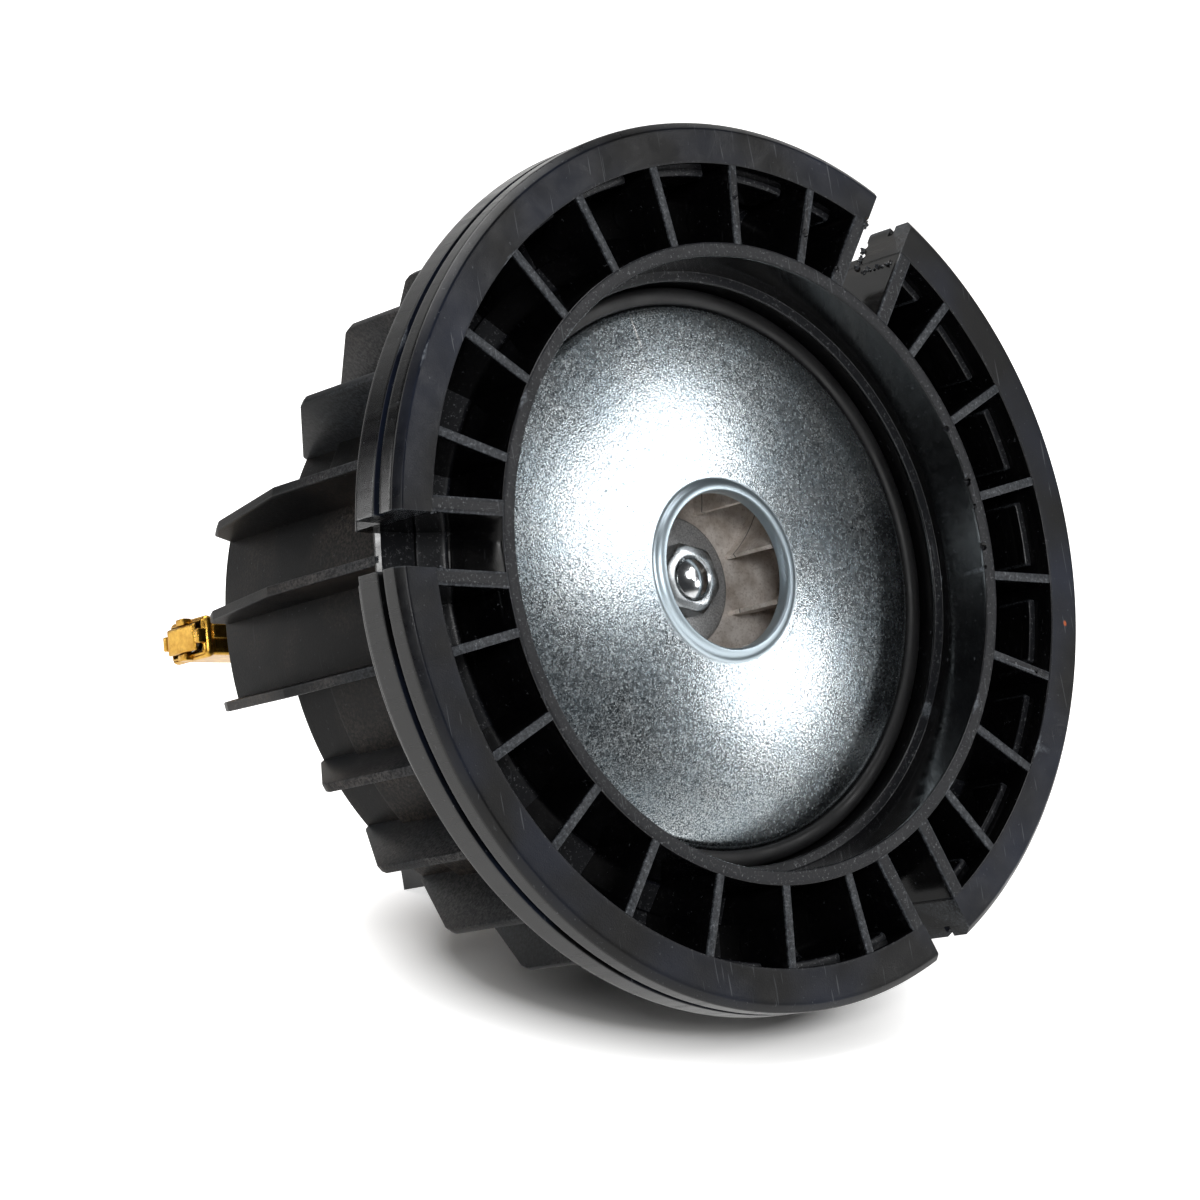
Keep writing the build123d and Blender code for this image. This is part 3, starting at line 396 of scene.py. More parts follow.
def grainyFinish(name, dark, light, grainSize, roughness, metallic=0.0, bumpDepth=0.05 * mm):
    # a two-tone finish whose grain is as large as its real casting, plating or moulding grain
    material, add, local = newMaterial(name, Metallic=metallic)
    grain = add("TexNoise", local, inputs={"Scale": 1 / grainSize, "Detail": 4.0, "Roughness": 0.65})
    patch = add("TexNoise", local, inputs={"Scale": 0.05 / grainSize, "Detail": 2.0})
    calm = add("MapRange", patch, 0.0, 1.0, 0.4, 0.6)
    both = add("Math", grain, calm, operation="MULTIPLY")
    paint = paintLayers(add, dark, ((add("MapRange", both, 0.12, 0.42), light),))
    gloss = add("MapRange", patch, 0.3, 0.7, roughness * 0.75, roughness * 1.25)
    edge = add("Bevel", 0.35 * mm, samples=4)
    bump = add("Bump", inputs={"Height": grain, "Strength": 0.4, "Distance": bumpDepth, "Normal": edge})
    setShader(material, Base_Color=paint, Roughness=gloss, Normal=bump)
    return material


def stripedFinish(name, dark, light, pitch, roughness, metallic=0.0, direction="Z"):
    # thin lines side by side, such as the edges of laminations or turns of wire; the pitch is drawn
    # coarser than the real one so that it shows, and at a scale of 1 a band is 0.314 wide
    material, add, local = newMaterial(name, Metallic=metallic)
    bandAtScaleOne = 0.314
    lines = add("TexWave", local, inputs={"Scale": bandAtScaleOne / pitch, "Distortion": 0.35, "Detail": 1.0},
                out="Fac", wave_type="BANDS", bands_direction=direction)
    stain = add("TexNoise", local, inputs={"Scale": 1 / (4 * mm), "Detail": 4.0})
    gloss = add("MapRange", stain, 0.3, 0.7, roughness * 0.7, roughness * 1.3)
    bump = add("Bump", inputs={"Height": lines, "Strength": 0.5, "Distance": 0.15 * mm})
    paint = paintLayers(add, dark, ((lines, light),))
    setShader(material, Base_Color=paint, Roughness=gloss, Normal=bump)
    return material


# named for what each is, with a note of what that gives the eye where its function doesn't say it
finishes = {
    "black_moulding": mouldedNylon(),
    "zinc_sheet": zincSheet(),
    # dull, nearly black
    "rubber": grainyFinish("nitrileRubber", "#0b0b0c", "#1d1d1f", 0.5 * mm, 0.55),
    # a pale grey, mottled skin from the die
    "cast_aluminium": grainyFinish("dieCastAluminium", "#6f7173", "#a9abac", 0.6 * mm, 0.42, 1.0),
    # dark sheet edges, stacked in lines
    "laminations": stripedFinish("electricalSteel", "#3a3b3e", "#77787b", 1.0 * mm, 0.4, 0.9),
    # cream woven tape, wound slantwise and matt with varnish
    "coil_tape": stripedFinish("cottonTape", "#8d7f5f", "#c9bb95", 3.0 * mm, 0.8, 0.0, "DIAGONAL"),
    # dark brown, half glossy
    "bobbin_plastic": grainyFinish("phenolicMoulding", "#2a1b12", "#4a3323", 0.5 * mm, 0.45),
    # yellow and bright, with a calm grain
    "brass": grainyFinish("rolledBrass", "#a8741f", "#e9bd5a", 2.0 * mm, 0.26, 1.0, 0.004 * mm),
    # black with a slight sheen
    "rear_plastic": grainyFinish("blackPolyester", "#101113", "#26282b", 0.4 * mm, 0.42),
    # bright plating with fine tumbling marks
    "screw_steel": grainyFinish("zincPlatedScrew", "#83878a", "#c9ced1", 0.4 * mm, 0.3, 1.0, 0.02 * mm),
    # nearly a mirror from grinding
    "shaft_steel": grainyFinish("groundShaftSteel", "#b9bcbf", "#e6e8ea", 0.6 * mm, 0.13, 1.0, 0.01 * mm),
    # red-brown turns under a glossy coat
    "enamel_wire": stripedFinish("enamelledCopper", "#5a2410", "#b4622f", 0.8 * mm, 0.3, 0.8, "X"),
    # bright turned bars, browned with use
    "copper": grainyFinish("turnedCopper", "#8a4526", "#d98c62", 0.5 * mm, 0.3, 1.0, 0.02 * mm),
    "fan_aluminium": bladeAluminium(),
    # pale sparkling grain over darker grey
    "zinc_steel": grainyFinish("zincPlatedWasher", "#6d6e70", "#e3e3e3", 0.3 * mm, 0.5, 0.6, 0.06 * mm),
    # ground and polished, a little darker than the shaft
    "bearing_steel": grainyFinish("bearingSteel", "#9a9da0", "#d3d6d8", 0.5 * mm, 0.15, 1.0, 0.01 * mm),
    # dark grey, dusty and dull
    "carbon": grainyFinish("electrographite", "#131315", "#2c2c2f", 0.4 * mm, 0.5),
}

# every CAD node starts with its slot's finish; the pieces drawn below take the place of some
slotOf = {part["node"]: part["material_slot"] for part in frame["record"]["subparts"]}
for node, thing in frame["nodes"].items():
    thing.data.materials.clear()
    thing.data.materials.append(finishes[slotOf[node]])
print("materials made", len(finishes))


# the housing, drawn over its node with every edge rounded

housing = {
    "rimRadius": 87.5, "rimBevel": 1.5, "grooveStart": 5.2, "grooveEnd": 6.8, "grooveFloor": 85.2,
    "lipDepth": 13.0, "shoulderRadius": 81.4, "floorDepth": 20.0, "floorBack": 22.0,
    "pocketOuter": 79.0, "pocketInner": 63.3, "pocketCorner": 2.2, "pocketStep": 69.0, "stepRise": 0.7,
    "rootRise": 3.0, "bowl": 60.4, "stepDepth": 13.0, "sealBore": 58.3, "ledgeDepth": 21.5, "ledge": 2.0,
    "sleeveBore": 55.1, "sleeveOuter": 57.3, "seatDepth": 43.0, "seatBack": 46.0, "seatBore": 47.0,
    "wallRadius": 64.0, "wallInner": 61.0, "wallStep": 1.5, "stepAt": 60.5, "wallEnd": 74.0,
}
ribs = {"count": 24, "first": 7.5, "thickness": 1.9, "frontSink": 0.15, "end": 21.0, "overlap": 0.8,
        "rounding": 0.3}
notches = {"angles": (52.5, 172.5, 292.5), "width": 10.3, "wall": 3.2, "root": 76.7, "outside": 95,
           "cutDepths": (-4, 30), "frontSink": 0.05, "rounding": 0.35}
fins = {"thickness": 2.0, "rounding": 0.35, "start": 20.4, "radius": 76.7, "cornerRadius": 76.0,
        "cornerDepth": 58.3, "chamferStart": 56.3, "rootRadius": 63.4, "seat": 61.8,
        "longChamferStart": 58.0, "longCorner": (71.2, 85.8), "longEnd": (69.0, 90.0)}
channels = {"angles": (172.5, 352.5), "half": 15.0, "overlap": 0.88, "radius": 65.0, "wall": 2.5,
            "start": 21.0, "end": 90.7, "rounding": 0.4, "sideRoot": 50.0, "sideStart": 62.0,
            "sideSink": 1.2, "sideRounding": 0.3}
pads = {"height": 1.5, "sink": 0.6, "start": 5.0, "end": 14.5, "gap": 2.5, "rounding": 0.7}
webs = {"count": 12, "first": 15, "half": 0.8, "overlap": 1.0, "rounding": 0.2}

ribStep = 360 / ribs["count"]
ribAngles = [ribs["first"] + ribStep * i for i in range(ribs["count"])]
plainRibs = [a for a in ribAngles if min(apart(a, n) for n in notches["angles"]) > ribStep / 2]


def housingSection():
    h = housing
    rim, shoulder, wall, inner = h["rimRadius"], h["shoulderRadius"], h["wallRadius"], h["wallInner"]
    ledgeBack, cornerInset = h["ledgeDepth"] + h["ledge"], h["pocketCorner"]
    return (
        (rim - h["rimBevel"], 0, 0.3), (rim, h["rimBevel"], 0.3), (rim, h["grooveStart"], 0.2),
        (h["grooveFloor"], h["grooveStart"], 0.2), (h["grooveFloor"], h["grooveEnd"], 0.2),
        (rim, h["grooveEnd"], 0.2), (rim, h["lipDepth"], 0.5), (shoulder, h["lipDepth"], 0.4),
        (shoulder, h["floorBack"], 0.9), (wall, h["floorBack"], 0.8), (wall, h["stepAt"], 0.2),
        (wall - h["wallStep"], h["stepAt"], 0.2), (wall - h["wallStep"], h["wallEnd"], 0.3),
        (inner - h["wallStep"], h["wallEnd"], 0.3), (inner, h["stepAt"], 0), (inner, ledgeBack, 0.3),
        (h["sleeveOuter"], ledgeBack, 0.3), (h["sleeveOuter"], h["seatBack"], 0.3),
        (h["seatBore"], h["seatBack"], 0.3), (h["seatBore"], h["seatDepth"], 0.3),
        (h["sleeveBore"], h["seatDepth"], 0), (h["sleeveBore"], h["ledgeDepth"], 0.3),
        (h["sealBore"], h["ledgeDepth"], 0), (h["sealBore"], h["stepDepth"], 0.4),
        (h["bowl"], h["stepDepth"], 0.2), (h["bowl"], 0, 0.35), (h["pocketInner"], 0, 0.5),
        (h["pocketInner"], h["floorDepth"] - h["rootRise"], 1.2),
        (h["pocketStep"], h["floorDepth"] - h["stepRise"], 0.2), (h["pocketStep"], h["floorDepth"], 0),
        (h["pocketOuter"] - cornerInset, h["floorDepth"], 0.8),
        (h["pocketOuter"], h["floorDepth"] - cornerInset, 0.8), (h["pocketOuter"], 0, 0.35),
    )


def besideChannel(angle):
    return min(apart(angle, c) for c in channels["angles"]) < channels["half"] + ribStep / 2


def addFins(drawn):
    f, end = fins, housing["wallEnd"]
    front = ((f["seat"], f["start"]), (f["radius"], f["start"]))
    short = (*front, (f["radius"], f["chamferStart"]), (f["cornerRadius"], f["cornerDepth"]),
             (f["rootRadius"], end), (f["seat"], end))
    onChannel = channels["radius"] - channels["wall"] / 2
    long = (*front, (f["radius"], f["longChamferStart"]), f["longCorner"], f["longEnd"],
            (onChannel, f["longEnd"][1]), (onChannel, end), (f["seat"], end))
    for angle in ribAngles:
        addPlate(drawn, long if besideChannel(angle) else short, f["thickness"], angle, f["rounding"])


def addChannels(drawn):
    c = channels
    spread, sideTop = c["half"] + c["overlap"], c["radius"] - c["sideSink"]
    side = ((c["sideRoot"], c["sideStart"]), (sideTop, c["sideStart"]), (sideTop, c["end"]),
            (c["sideRoot"], c["end"]))
    for angle in c["angles"]:
        addSector(drawn, (c["radius"] - c["wall"], c["radius"]), (angle - spread, angle + spread),
                  (c["start"], c["end"]), c["rounding"], 32)
        for turn in (-c["half"], c["half"]):
            addPlate(drawn, side, fins["thickness"], angle + turn, c["sideRounding"])


def addPads(drawn):
    # one on the outer wall of each pocket, clear of the ribs and notch walls beside it
    wall = housing["pocketOuter"]
    besideRib = degrees((pads["gap"] + ribs["thickness"] / 2) / wall)
    besideNotch = degrees((pads["gap"] + notches["width"] / 2 + notches["wall"]) / wall)
    stops = sorted([(a, besideRib) for a in plainRibs] + [(a, besideNotch) for a in notches["angles"]])
    for (here, gapHere), (there, gapThere) in zip(stops, stops[1:] + [(stops[0][0] + 360, stops[0][1])]):
        addSector(drawn, (wall - pads["height"], wall + pads["sink"]), (here + gapHere, there - gapThere),
                  (pads["start"], pads["end"]), pads["rounding"], 12)


def addWebs(drawn):
    # join the bowl's sleeve to the outer wall behind the ledge
    h, w = housing, webs
    for i in range(w["count"]):
        addBlock(drawn, (h["sleeveOuter"] - w["overlap"], h["wallInner"] + w["overlap"]),
                 (-w["half"], w["half"]), (h["ledgeDepth"] + w["overlap"], h["seatDepth"]), w["rounding"],
                 w["first"] + 360 / w["count"] * i)


wear = {
    # radius, angle, depth and size of what was knocked off the bowl's lip and the notch edges
    "chips": ((60.6, 22, 0, 0.8), (60.5, 17, 0, 0.5), (60.7, 11, 0, 1.0), (60.5, 6, 0, 0.6),
              (60.6, -2, 0, 0.9), (60.5, -6, 0, 0.5), (86.9, 56.2, 0, 0.7), (79.5, 56.3, 0, 0.9),
              (77.4, 48.6, 12.5, 1.3), (82.0, 49.0, 12.8, 1.1), (84.6, 49.1, 13.1, 0.8),
              (87.2, 289.2, 6, 0.8), (86.8, 168.9, 0, 0.6)),
    # the same for the ribs
    "nicks": ((72.7, 82.5, 0, 0.8), (69.6, 67.5, 0, 0.9), (65.8, 59.6, 0, 0.8), (75.2, -22.5, 0, 0.6)),
    # notch angle, side of the notch, stretch of radius, stretch of depth, how many, size
    "burrs": ((52.5, -1, (77, 84), (13.1, 13.1), 12, 0.75), (52.5, -1, (76.6, 77.2), (2, 13), 13, 0.7),
              (52.5, 1, (77, 80), (0.1, 0.3), 6, 0.6), (292.5, -1, (79, 86), (13.1, 13.1), 8, 0.45),
              (172.5, -1, (78, 79), (0.2, 0.4), 3, 0.6), (172.5, 1, (76, 78), (0.2, 0.6), 4, 0.5)),
    "burrShape": (1.2, 0.4, 0.8),
    "pinMark": {"radius": 3.7, "taper": 0.2, "height": 0.3, "circle": 73.5, "clearOfNotch": 10},
}


def addLump(target, place, size, dice, shape=(1, 1, 1)):
    # an uneven bit of plastic, or the hole that such a bit leaves
    part = bmesh.new()
    bmesh.ops.create_icosphere(part, subdivisions=2, radius=size)
    for v in part.verts:
        v.co *= 0.7 + 0.5 * dice.random()
    bmesh.ops.scale(part, vec=shape, verts=part.verts[:])
    turn = Matrix.Rotation(dice.uniform(0, 2 * pi), 3, (dice.random(), dice.random(), 1))
    bmesh.ops.rotate(part, verts=part.verts[:], cent=(0, 0, 0), matrix=turn)
    bmesh.ops.translate(part, verts=part.verts[:], vec=place)
    appendTo(target, part)


def drawLumps(places, dice):
    drawn = bmesh.new()
    for radius, angle, depth, size in places:
        addLump(drawn, onUnit(radius, angle, depth), size, dice)
    return drawn


def addBurrs(drawn, dice):
    for angle, side, radii, depths, count, size in wear["burrs"]:
        turn = Matrix.Rotation(radians(angle), 3, "Z")
        for i in range(count):
            radius = dice.uniform(*radii)
            place = turn @ Vector((radius, side * notches["width"] / 2, -dice.uniform(*depths)))
            addLump(drawn, place, size * dice.uniform(0.5, 1.1), dice, wear["burrShape"])


def addPinMarks(drawn):
    # round marks that the ejector pins left on the pocket floors
    mark = wear["pinMark"]
    for middle in [angle + ribStep / 2 for angle in ribAngles]:
        if min(apart(middle, n) for n in notches["angles"]) >= mark["clearOfNotch"]:
            part = bmesh.new()
            place = Matrix.Translation(onUnit(mark["circle"], middle, housing["floorDepth"]))
            bmesh.ops.create_cone(part, cap_ends=True, segments=48, radius1=mark["radius"],
                                  radius2=mark["radius"] - mark["taper"], depth=2 * mark["height"],
                                  matrix=place)
            appendTo(drawn, part)


def drawShell(dice):
    # the spun section, less the notches and chips
    n, half = notches, notches["width"] / 2
    cutter = bmesh.new()
    for angle in n["angles"]:
        addBlock(cutter, (n["root"], n["outside"]), (-half, half), n["cutDepths"], 0, angle)
    shell = cutWith(drawRing(housingSection(), 288), cutter)
    return cutWith(shell, drawLumps(wear["chips"], dice))


def drawRibs(dice):
    # ribs across the pockets, and the notches' own walls, less the nicks
    h, r, n = housing, ribs, notches
    span = (h["pocketInner"] - r["overlap"], h["pocketOuter"] + r["overlap"])
    half, near, far = r["thickness"] / 2, n["width"] / 2, n["width"] / 2 + n["wall"]
    plates = bmesh.new()
    for angle in plainRibs:
        addBlock(plates, span, (-half, half), (r["frontSink"], r["end"]), r["rounding"], angle)
    for angle in n["angles"]:
        for across in ((near, far), (-far, -near)):
            addBlock(plates, span, across, (n["frontSink"], r["end"]), n["rounding"], angle)
    return cutWith(plates, drawLumps(wear["nicks"], dice))


def drawHousing():
    dice = random.Random(7)
    drawn = drawShell(dice)
    appendTo(drawn, drawRibs(dice))
    addBurrs(drawn, dice)
    for addMore in (addPinMarks, addPads, addFins, addChannels, addWebs):
        addMore(drawn)
    return drawn


makePiece("housingMoulding", drawHousing(), "unit", "black_moulding", "motor_housing")
print("housing drawn")


# fan cover: one pressed sheet with a rolled inlet and a slightly domed face

cover = {"sheet": 0.8, "inlet": 15.6, "crownOuter": 17.3, "crownDepth": 10.0, "lipDepth": 13.0,
         "faceStart": 18.0, "faceDepth": 11.4, "edge": 54.5, "edgeDepth": 17.2, "dome": 0.8,
         "facePoints": 12, "skirtEnd": 42.4}
seal = {"inner": 54.6, "outer": 58.2, "front": 16.6, "back": 21.4}


def domeDepth(share):
    # share is 0 where the face starts and 1 at its edge
    c = cover
    return c["faceDepth"] + (c["edgeDepth"] - c["faceDepth"]) * share - c["dome"] * 4 * share * (1 - share)


def drawCover():
    c, s = cover, cover["sheet"]
    shares = [i / c["facePoints"] for i in range(1, c["facePoints"])]
    face = [(c["faceStart"] + (c["edge"] - c["faceStart"]) * share, domeDepth(share)) for share in shares]
    lip, crown, inner = c["lipDepth"], c["crownDepth"], c["inlet"]
    front = [(inner, lip, 0.15), (inner, crown, 1.3), (c["crownOuter"], crown, 1.2),
             (c["faceStart"], c["faceDepth"], 0.6)]
    front += [(radius, depth, 0) for radius, depth in face]
    front += [(c["edge"], c["edgeDepth"], 1.3), (c["edge"], c["skirtEnd"], 0.15)]
    back = [(c["edge"] - s, c["skirtEnd"], 0.15), (c["edge"] - s, c["edgeDepth"] + s, 0.6)]
    back += [(radius, depth + s, 0) for radius, depth in reversed(face)]
    back += [(c["faceStart"] - s / 2, c["faceDepth"] + s, 0.3), (c["crownOuter"] - s, crown + s, 0.5),
             (inner + s, crown + s, 0.5), (inner + s, lip, 0.15)]
    return drawRing(front + back, 288)


def drawSeal():
    # rubber ring between the cover and the bowl
    s = seal
    return drawRing(((s["inner"], s["back"], 0.2), (s["inner"], s["front"], 1.2),
                     (s["outer"], s["front"], 1.7), (s["outer"], s["back"], 0.2)))


makePiece("pressedCover", drawCover(), "unit", "zinc_sheet", "fan_cover")
makePiece("sealRing", drawSeal(), "unit", "rubber", "cover_seal_ring")


# impeller, seen through the inlet, with the washer and nut that clamp it

fan = {"radius": 52.0, "eye": 17.5, "eyeLip": 0.8, "eyeDepth": 13.4, "neckDepth": 14.0, "neckStep": 0.4,
       "rimDepth": 20.0, "sheet": 0.8, "backDepth": 28.2, "backThickness": 1.2, "bore": 4.05}
blades = {"count": 9, "first": 15.5, "inner": 16.3, "front": 14.2, "sweep": 62.0, "bow": 22.0,
          "thickness": 0.9, "tipGap": 0.2, "discGap": 0.6}
washer = {"radius": 13.5, "front": 26.6}
nut = {"flats": 13.0, "height": 5.4, "middle": 23.9, "turn": 12, "rounding": 0.25, "core": 0.5,
       "ahead": 19.0, "behind": 29.0, "chamferOuter": (9.5, 23.0), "chamferInner": (6.15, 21.0),
       "leadIn": (4.9, 21.0), "leadEnd": 21.7}


def circleThrough(a, b, c):
    # centre of the circle through three points of the plane
    ax, ay, bx, by, cx, cy = *a, *b, *c
    d = 2 * (ax * (by - cy) + bx * (cy - ay) + cx * (ay - by))
    a2, b2, c2 = ax * ax + ay * ay, bx * bx + by * by, cx * cx + cy * cy
    return Vector(((a2 * (by - cy) + b2 * (cy - ay) + c2 * (ay - by)) / d,
                   (a2 * (cx - bx) + b2 * (ax - cx) + c2 * (bx - ax)) / d, 0))


def drawBlades():
    # an edge swung along the blade's curve, its front brought up to the front disc's slope
    f, b = fan, blades
    stations = ((b["inner"], 0), ((b["inner"] + f["radius"]) / 2, b["bow"]),
                (f["radius"] - b["tipGap"], b["sweep"]))
    start, middle, end = [onUnit(radius, angle, 0)[:2] for radius, angle in stations]
    centre = circleThrough(start, middle, end)
    first, last = Vector((*start, 0)) - centre, Vector((*end, 0)) - centre
    swing = first.to_2d().angle_signed(last.to_2d())
    drawn = bmesh.new()
    for i in range(b["count"]):
        part = bmesh.new()
        edge = part.edges.new([part.verts.new((*start, -depth)) for depth in (f["backDepth"], b["front"])])
        bmesh.ops.spin(part, geom=[edge], cent=centre, axis=(0, 0, 1), angle=-swing, steps=28,
                       use_merge=False, use_duplicate=False)
        for v in [v for v in part.verts if v.co.z > -(f["backDepth"] + b["front"]) / 2]:
            slope = (hypot(v.co.x, v.co.y) - f["eye"]) / (f["radius"] - f["eye"])
            if slope > 0:
                v.co.z = -(f["neckDepth"] + b["discGap"] + (f["rimDepth"] - f["neckDepth"]) * slope)
        bmesh.ops.solidify(part, geom=part.faces[:], thickness=b["thickness"])
        bmesh.ops.recalc_face_normals(part, faces=part.faces[:])
        turnPart(part, b["first"] + 360 / b["count"] * i)
        appendTo(drawn, part)
    return drawn


def drawFrontDisc():
    f = fan
    neck, step, sheet = f["eye"] + f["eyeLip"], f["neckStep"], f["sheet"]
    return drawRing(((f["eye"], f["eyeDepth"], 0.2), (neck, f["eyeDepth"], 0.2),
                     (neck + step, f["neckDepth"], 0.4), (f["radius"], f["rimDepth"], 0.2),
                     (f["radius"], f["rimDepth"] + sheet, 0.2), (neck, f["neckDepth"] + sheet, 0.5),
                     (f["eye"], f["neckDepth"] + step, 0)), 180)


def drawBackDisc():
    f = fan
    back = f["backDepth"] + f["backThickness"]
    return drawRing(((f["bore"], f["backDepth"], 0.1), (f["radius"], f["backDepth"], 0.2),
                     (f["radius"], back, 0.2), (f["bore"], back, 0.1)), 180)


def drawWasher():
    f, w = fan, washer
    return drawRing(((f["bore"], w["front"], 0.15), (w["radius"], w["front"], 0.45),
                     (w["radius"], f["backDepth"], 0.1), (f["bore"], f["backDepth"], 0.1)), 120)


def drawNut():
    # a hexagon, less a cone for its chamfer and lead-in, and its bore
    n, bore = nut, fan["bore"]
    drawn = bmesh.new()
    corner = n["flats"] / 2 / cos(pi / 6)
    place = Matrix.Translation((0, 0, -n["middle"])) @ Matrix.Rotation(radians(n["turn"]), 4, "Z")
    bmesh.ops.create_cone(drawn, cap_ends=True, segments=6, radius1=corner, radius2=corner,
                          depth=n["height"], matrix=place)
    roundEdges(drawn, drawn.edges[:], n["rounding"])
    cone = ((bore, n["ahead"]), (n["chamferOuter"][0], n["ahead"]), n["chamferOuter"],
            n["chamferInner"], n["leadIn"], (bore, n["leadEnd"]))
    drawn = cutWith(drawn, drawRing([(radius, depth, 0) for radius, depth in cone], 96))
    return cutWith(drawn, drawRing([(n["core"], n["ahead"], 0), (bore, n["ahead"], 0),
                                    (bore, n["behind"], 0), (n["core"], n["behind"], 0)], 64))


for name, drawn, slot, node in (
        ("fanBlades", drawBlades(), "fan_aluminium", "impeller_blades"),
        ("fanFrontDisc", drawFrontDisc(), "fan_aluminium", "impeller_front_disc"),
        ("fanBackDisc", drawBackDisc(), "fan_aluminium", "impeller_back_disc"),
        ("fanWasher", drawWasher(), "zinc_steel", "fan_washer"),
        ("fanNut", drawNut(), "screw_steel", "fan_nut")):
    makePiece(name, drawn, "rotor", slot, node)
print("fan drawn")


# brush gear: a brass tube each side, closed by a folded clip, with the spring inside

brushTube = {"angle": 173.8, "depth": 107.5, "halfWidth": 3.8, "halfHeight": 6.15, "wall": 0.55,
             "start": 16.5, "end": 64.5, "rounding": 0.9}
brushClip = {"sheet": 0.5, "play": 0.05, "collarStart": 60.9, "collarEnd": 63.3, "collarRounding": 1.1,
             "capStart": 64.1, "capEnd": 65.0, "capInset": 1.1, "capRounding": 0.4, "strap": 3.0,
             "strapStart": 63.0, "overlap": 0.2, "tabStart": 57.7, "tabEnd": 61.3, "tabSpan": (-2.4, 0.6),
             "tabLift": 0.15}
brushSpring = {"start": 42.2, "end": 64.0, "radius": 2.2, "wire": 0.4, "turns": 12, "perTurn": 20,
               "travel": 12.0, "slack": 0.1}
overrun = 1.0    # of a cutter past what it cuts


def brushBlock(target, xRange, halfWidth, halfHeight, rounding, side):
    depth = brushTube["depth"]
    addBlock(target, xRange, (-halfWidth, halfWidth), (depth - halfHeight, depth + halfHeight), rounding,
             side, 3)


def drawBrushTube(side):
    t = brushTube
    outer, inner = bmesh.new(), bmesh.new()
    brushBlock(outer, (t["start"], t["end"] - t["rounding"]), t["halfWidth"], t["halfHeight"], t["rounding"],
               side)
    brushBlock(inner, (t["start"] - overrun, t["end"] + overrun), t["halfWidth"] - t["wall"],
               t["halfHeight"] - t["wall"], 0, side)
    return cutWith(outer, inner)


def drawBrushClip(side):
    # collar, end cap, the straps folded between them and the two tabs on the collar's edge
    c, depth = brushClip, brushTube["depth"]
    wide, high = brushTube["halfWidth"] + c["play"], brushTube["halfHeight"] + c["play"]
    outer, inner = bmesh.new(), bmesh.new()
    brushBlock(outer, (c["collarStart"], c["collarEnd"]), wide + c["sheet"], high + c["sheet"],
               c["collarRounding"], side)
    brushBlock(inner, (c["collarStart"] - overrun, brushTube["end"]), wide - c["play"], high - c["play"],
               brushTube["rounding"], side)
    drawn = cutWith(outer, inner)
    brushBlock(drawn, (c["capStart"], c["capEnd"]), wide - c["capInset"], high - c["capInset"],
               c["capRounding"], side)
    half, straps, inset = c["strap"] / 2, (c["strapStart"], c["capEnd"]), c["capInset"] - c["overlap"]
    for sign in (-1, 1):
        across = sorted((sign * (wide - inset), sign * (wide + c["sheet"])))
        addBlock(drawn, straps, across, (depth - half, depth + half), angle=side)
        along = sorted((depth + sign * (high - inset), depth + sign * (high + c["sheet"])))
        addBlock(drawn, straps, (-half, half), along, angle=side)
        lifted = high + c["sheet"] + c["tabLift"]
        tab = sorted((depth + sign * (high + c["play"]), depth + sign * lifted))
        addBlock(drawn, (c["tabStart"], c["tabEnd"]), c["tabSpan"], tab, 0.2, side)
    return drawn


def drawSpring(side):
    # the wire's round section, swept round the spring's line while it moves along
    s, depth = brushSpring, brushTube["depth"]
    pitch = (s["end"] - s["start"] - 2 * s["wire"]) / s["turns"]
    start = Matrix.Translation((s["start"] + s["wire"], s["radius"], -depth))
    part = bmesh.new()
    bmesh.ops.create_circle(part, cap_ends=False, segments=8, radius=s["wire"], matrix=start)
    bmesh.ops.spin(part, geom=part.edges[:], cent=(0, 0, -depth), axis=(1, 0, 0),
                   dvec=(pitch / s["perTurn"], 0, 0), angle=2 * pi * s["turns"],
                   steps=s["perTurn"] * s["turns"], use_merge=False, use_duplicate=False)
    bmesh.ops.holes_fill(part, edges=[e for e in part.edges if e.is_boundary])
    bmesh.ops.recalc_face_normals(part, faces=part.faces[:])
    turnPart(part, side)
    return part


for label, side in (("left", brushTube["angle"]), ("right", brushTube["angle"] - 180)):
    makePiece(label + "BrushTube", drawBrushTube(side), "unit", "brass", "brush_tube_" + label)
    makePiece(label + "BrushClip", drawBrushClip(side), "unit", "brass", "brush_clip_" + label)
    springNode = "brush_spring_" + label
    spring = makePiece(label + "BrushSpring", drawSpring(side), "unit", slotOf[springNode], springNode)
    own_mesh(spring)
print("brush gear drawn")


# floor with a rounded sweep behind, camera and lamps

stage = {"half": 3.0, "back": 1.5, "front": -1.6, "bend": 0.5, "height": 2.5, "paper": "#f1f0ee",
         # the middle and the reach in metres of the ellipse of painted shadow under the unit
         "shadeCentre": (0, -0.02, 0), "shadeReach": (0.042, 0.055, 1)}
view = {"lens": 114.36, "sensor": 36, "clipStart": 0.02, "place": (-498.0, -51.8, 544.9),
        "right": (0.7633, -0.1692, 0.6235), "down": (-0.0877, -0.9833, -0.1595)}


def makeCamera():
    right = (unitTurn @ Vector(view["right"])).normalized()
    back = right.cross(-(unitTurn @ Vector(view["down"])).normalized()).normalized()
    data = bpy.data.cameras.new("photoCamera")
    data.lens, data.sensor_width, data.clip_start = view["lens"], view["sensor"], view["clipStart"]
    camera = bpy.data.objects.new("photoCamera", data)
    scene.collection.objects.link(camera)
    pose = Matrix((right, back.cross(right), back)).transposed().to_4x4()
    pose.translation = unitPlace @ Vector(view["place"])
    camera.matrix_world = pose
    scene.camera = camera
    return -back


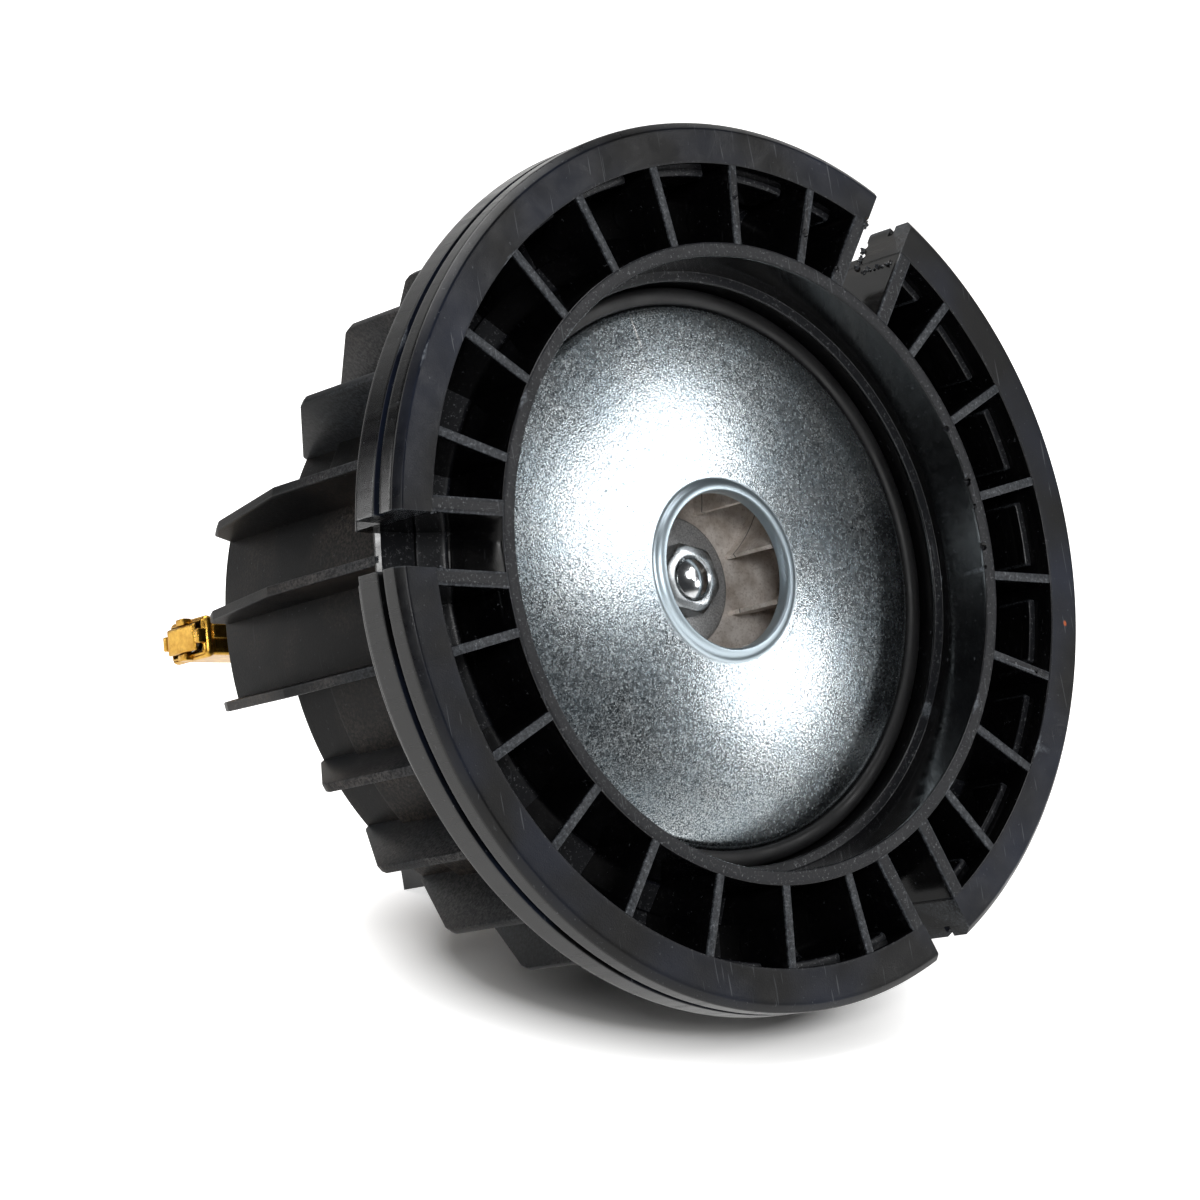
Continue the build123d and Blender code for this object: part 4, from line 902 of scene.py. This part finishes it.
def makeStage(lookAlong):
    # a floor that bends up into a wall, square to the camera's line of sight
    s = stage
    across = Vector((lookAlong.y, -lookAlong.x, 0)).normalized()
    along = Vector((lookAlong.x, lookAlong.y, 0)).normalized()
    corner = along * (s["back"] + s["bend"])
    line = (along * s["front"], corner, corner + Vector((0, 0, s["height"])))
    drawn = bmesh.new()
    verts = [drawn.verts.new(place - across * s["half"]) for place in line]
    for pair in zip(verts, verts[1:]):
        drawn.edges.new(pair)
    bmesh.ops.bevel(drawn, geom=[verts[1]], offset=s["bend"], offset_type="OFFSET", segments=16,
                    profile=0.5, affect="VERTICES", material=-1)
    grown = bmesh.ops.extrude_edge_only(drawn, edges=drawn.edges[:])
    moved = [g for g in grown["geom"] if isinstance(g, bmesh.types.BMVert)]
    bmesh.ops.translate(drawn, verts=moved, vec=across * 2 * s["half"])
    bmesh.ops.recalc_face_normals(drawn, faces=drawn.faces[:])
    mesh = bpy.data.meshes.new("sweep")
    drawn.to_mesh(mesh)
    drawn.free()
    mesh.shade_smooth()
    mesh.materials.append(paperSweep())
    sweep = bpy.data.objects.new("sweep", mesh)
    scene.collection.objects.link(sweep)


def paperSweep():
    # matt white paper, lifted to white where the camera or a reflection sees it, but not within an ellipse under
    # the unit, which is left unlifted as a painted shadow in which the lamps' own shadow shows
    material, add, under = newMaterial(
        "paperSweep", stage["shadeCentre"], (0, 0, 0), stage["shadeReach"],
        Base_Color=colour(stage["paper"]), Roughness=0.9, Specular_IOR_Level=0.1)
    # the glow fades out towards the middle of the ellipse, which leaves the painted shadow
    lift = add("MapRange", add("VectorMath", under, operation="LENGTH"), 0.76, 1.35)
    straight = add("Math", add("LightPath", out="Is Camera Ray"), lift, operation="MULTIPLY")
    mirrored = add("Math", add("LightPath", out="Is Glossy Ray"), 0.45, operation="MULTIPLY")
    glow = add("Emission", (1, 1, 1, 1), add("Math", straight, mirrored, operation="ADD"))
    nodes = material.node_tree.nodes
    both = add("AddShader", nodes["Principled BSDF"].outputs["BSDF"], glow)
    setInput(material.node_tree, nodes["Material Output"].inputs["Surface"], both)
    return material


# degrees round and above the unit, metres away from it, and metres across
lamps = {
    "faceBox": {"azimuth": 35, "elevation": 28, "distance": 1.2, "size": (0.42, 0.2), "watts": 2.4},
    "highBox": {"azimuth": 46, "elevation": 32, "distance": 1.2, "size": (0.16, 0.14), "watts": 0.7},
    "lowBox": {"azimuth": 46, "elevation": 8, "distance": 1.2, "size": (0.16, 0.14), "watts": 1.4},
    "topBox": {"azimuth": -150, "elevation": 72, "distance": 1.5, "size": (1.1, 1.1), "watts": 19},
    "leftBox": {"azimuth": -100, "elevation": 30, "distance": 1.3, "size": (0.5, 0.9), "watts": 3.5},
    "rearStrip": {"azimuth": -143, "elevation": 2, "distance": 1.2, "size": (0.06, 0.4), "watts": 0.8},
    "cameraBox": {"azimuth": -36, "elevation": 24, "distance": 1.3, "size": (0.3, 0.3), "watts": 6},
}
studio = {"centre": (0, 0, 0.09), "air": "#c9cdd2", "airStrength": 0.07}


def makeLamps():
    for name, lamp in lamps.items():
        azimuth, elevation = radians(lamp["azimuth"]), radians(lamp["elevation"])
        away = Vector((sin(azimuth) * cos(elevation), -cos(azimuth) * cos(elevation), sin(elevation)))
        data = bpy.data.lights.new(name, "AREA")
        data.shape = "RECTANGLE"
        data.size, data.size_y = lamp["size"]
        data.energy = lamp["watts"]
        thing = bpy.data.objects.new(name, data)
        thing.location = Vector(studio["centre"]) + away * lamp["distance"]
        thing.rotation_euler = away.to_track_quat("Z", "Y").to_euler()
        scene.collection.objects.link(thing)
    world = bpy.data.worlds.new("studio")
    world.use_nodes = True
    air = world.node_tree.nodes["Background"].inputs
    air["Color"].default_value = colour(studio["air"])
    air["Strength"].default_value = studio["airStrength"]
    scene.world = world


makeStage(makeCamera())
makeLamps()
scene.view_settings.view_transform = "Standard"
print("stage set")
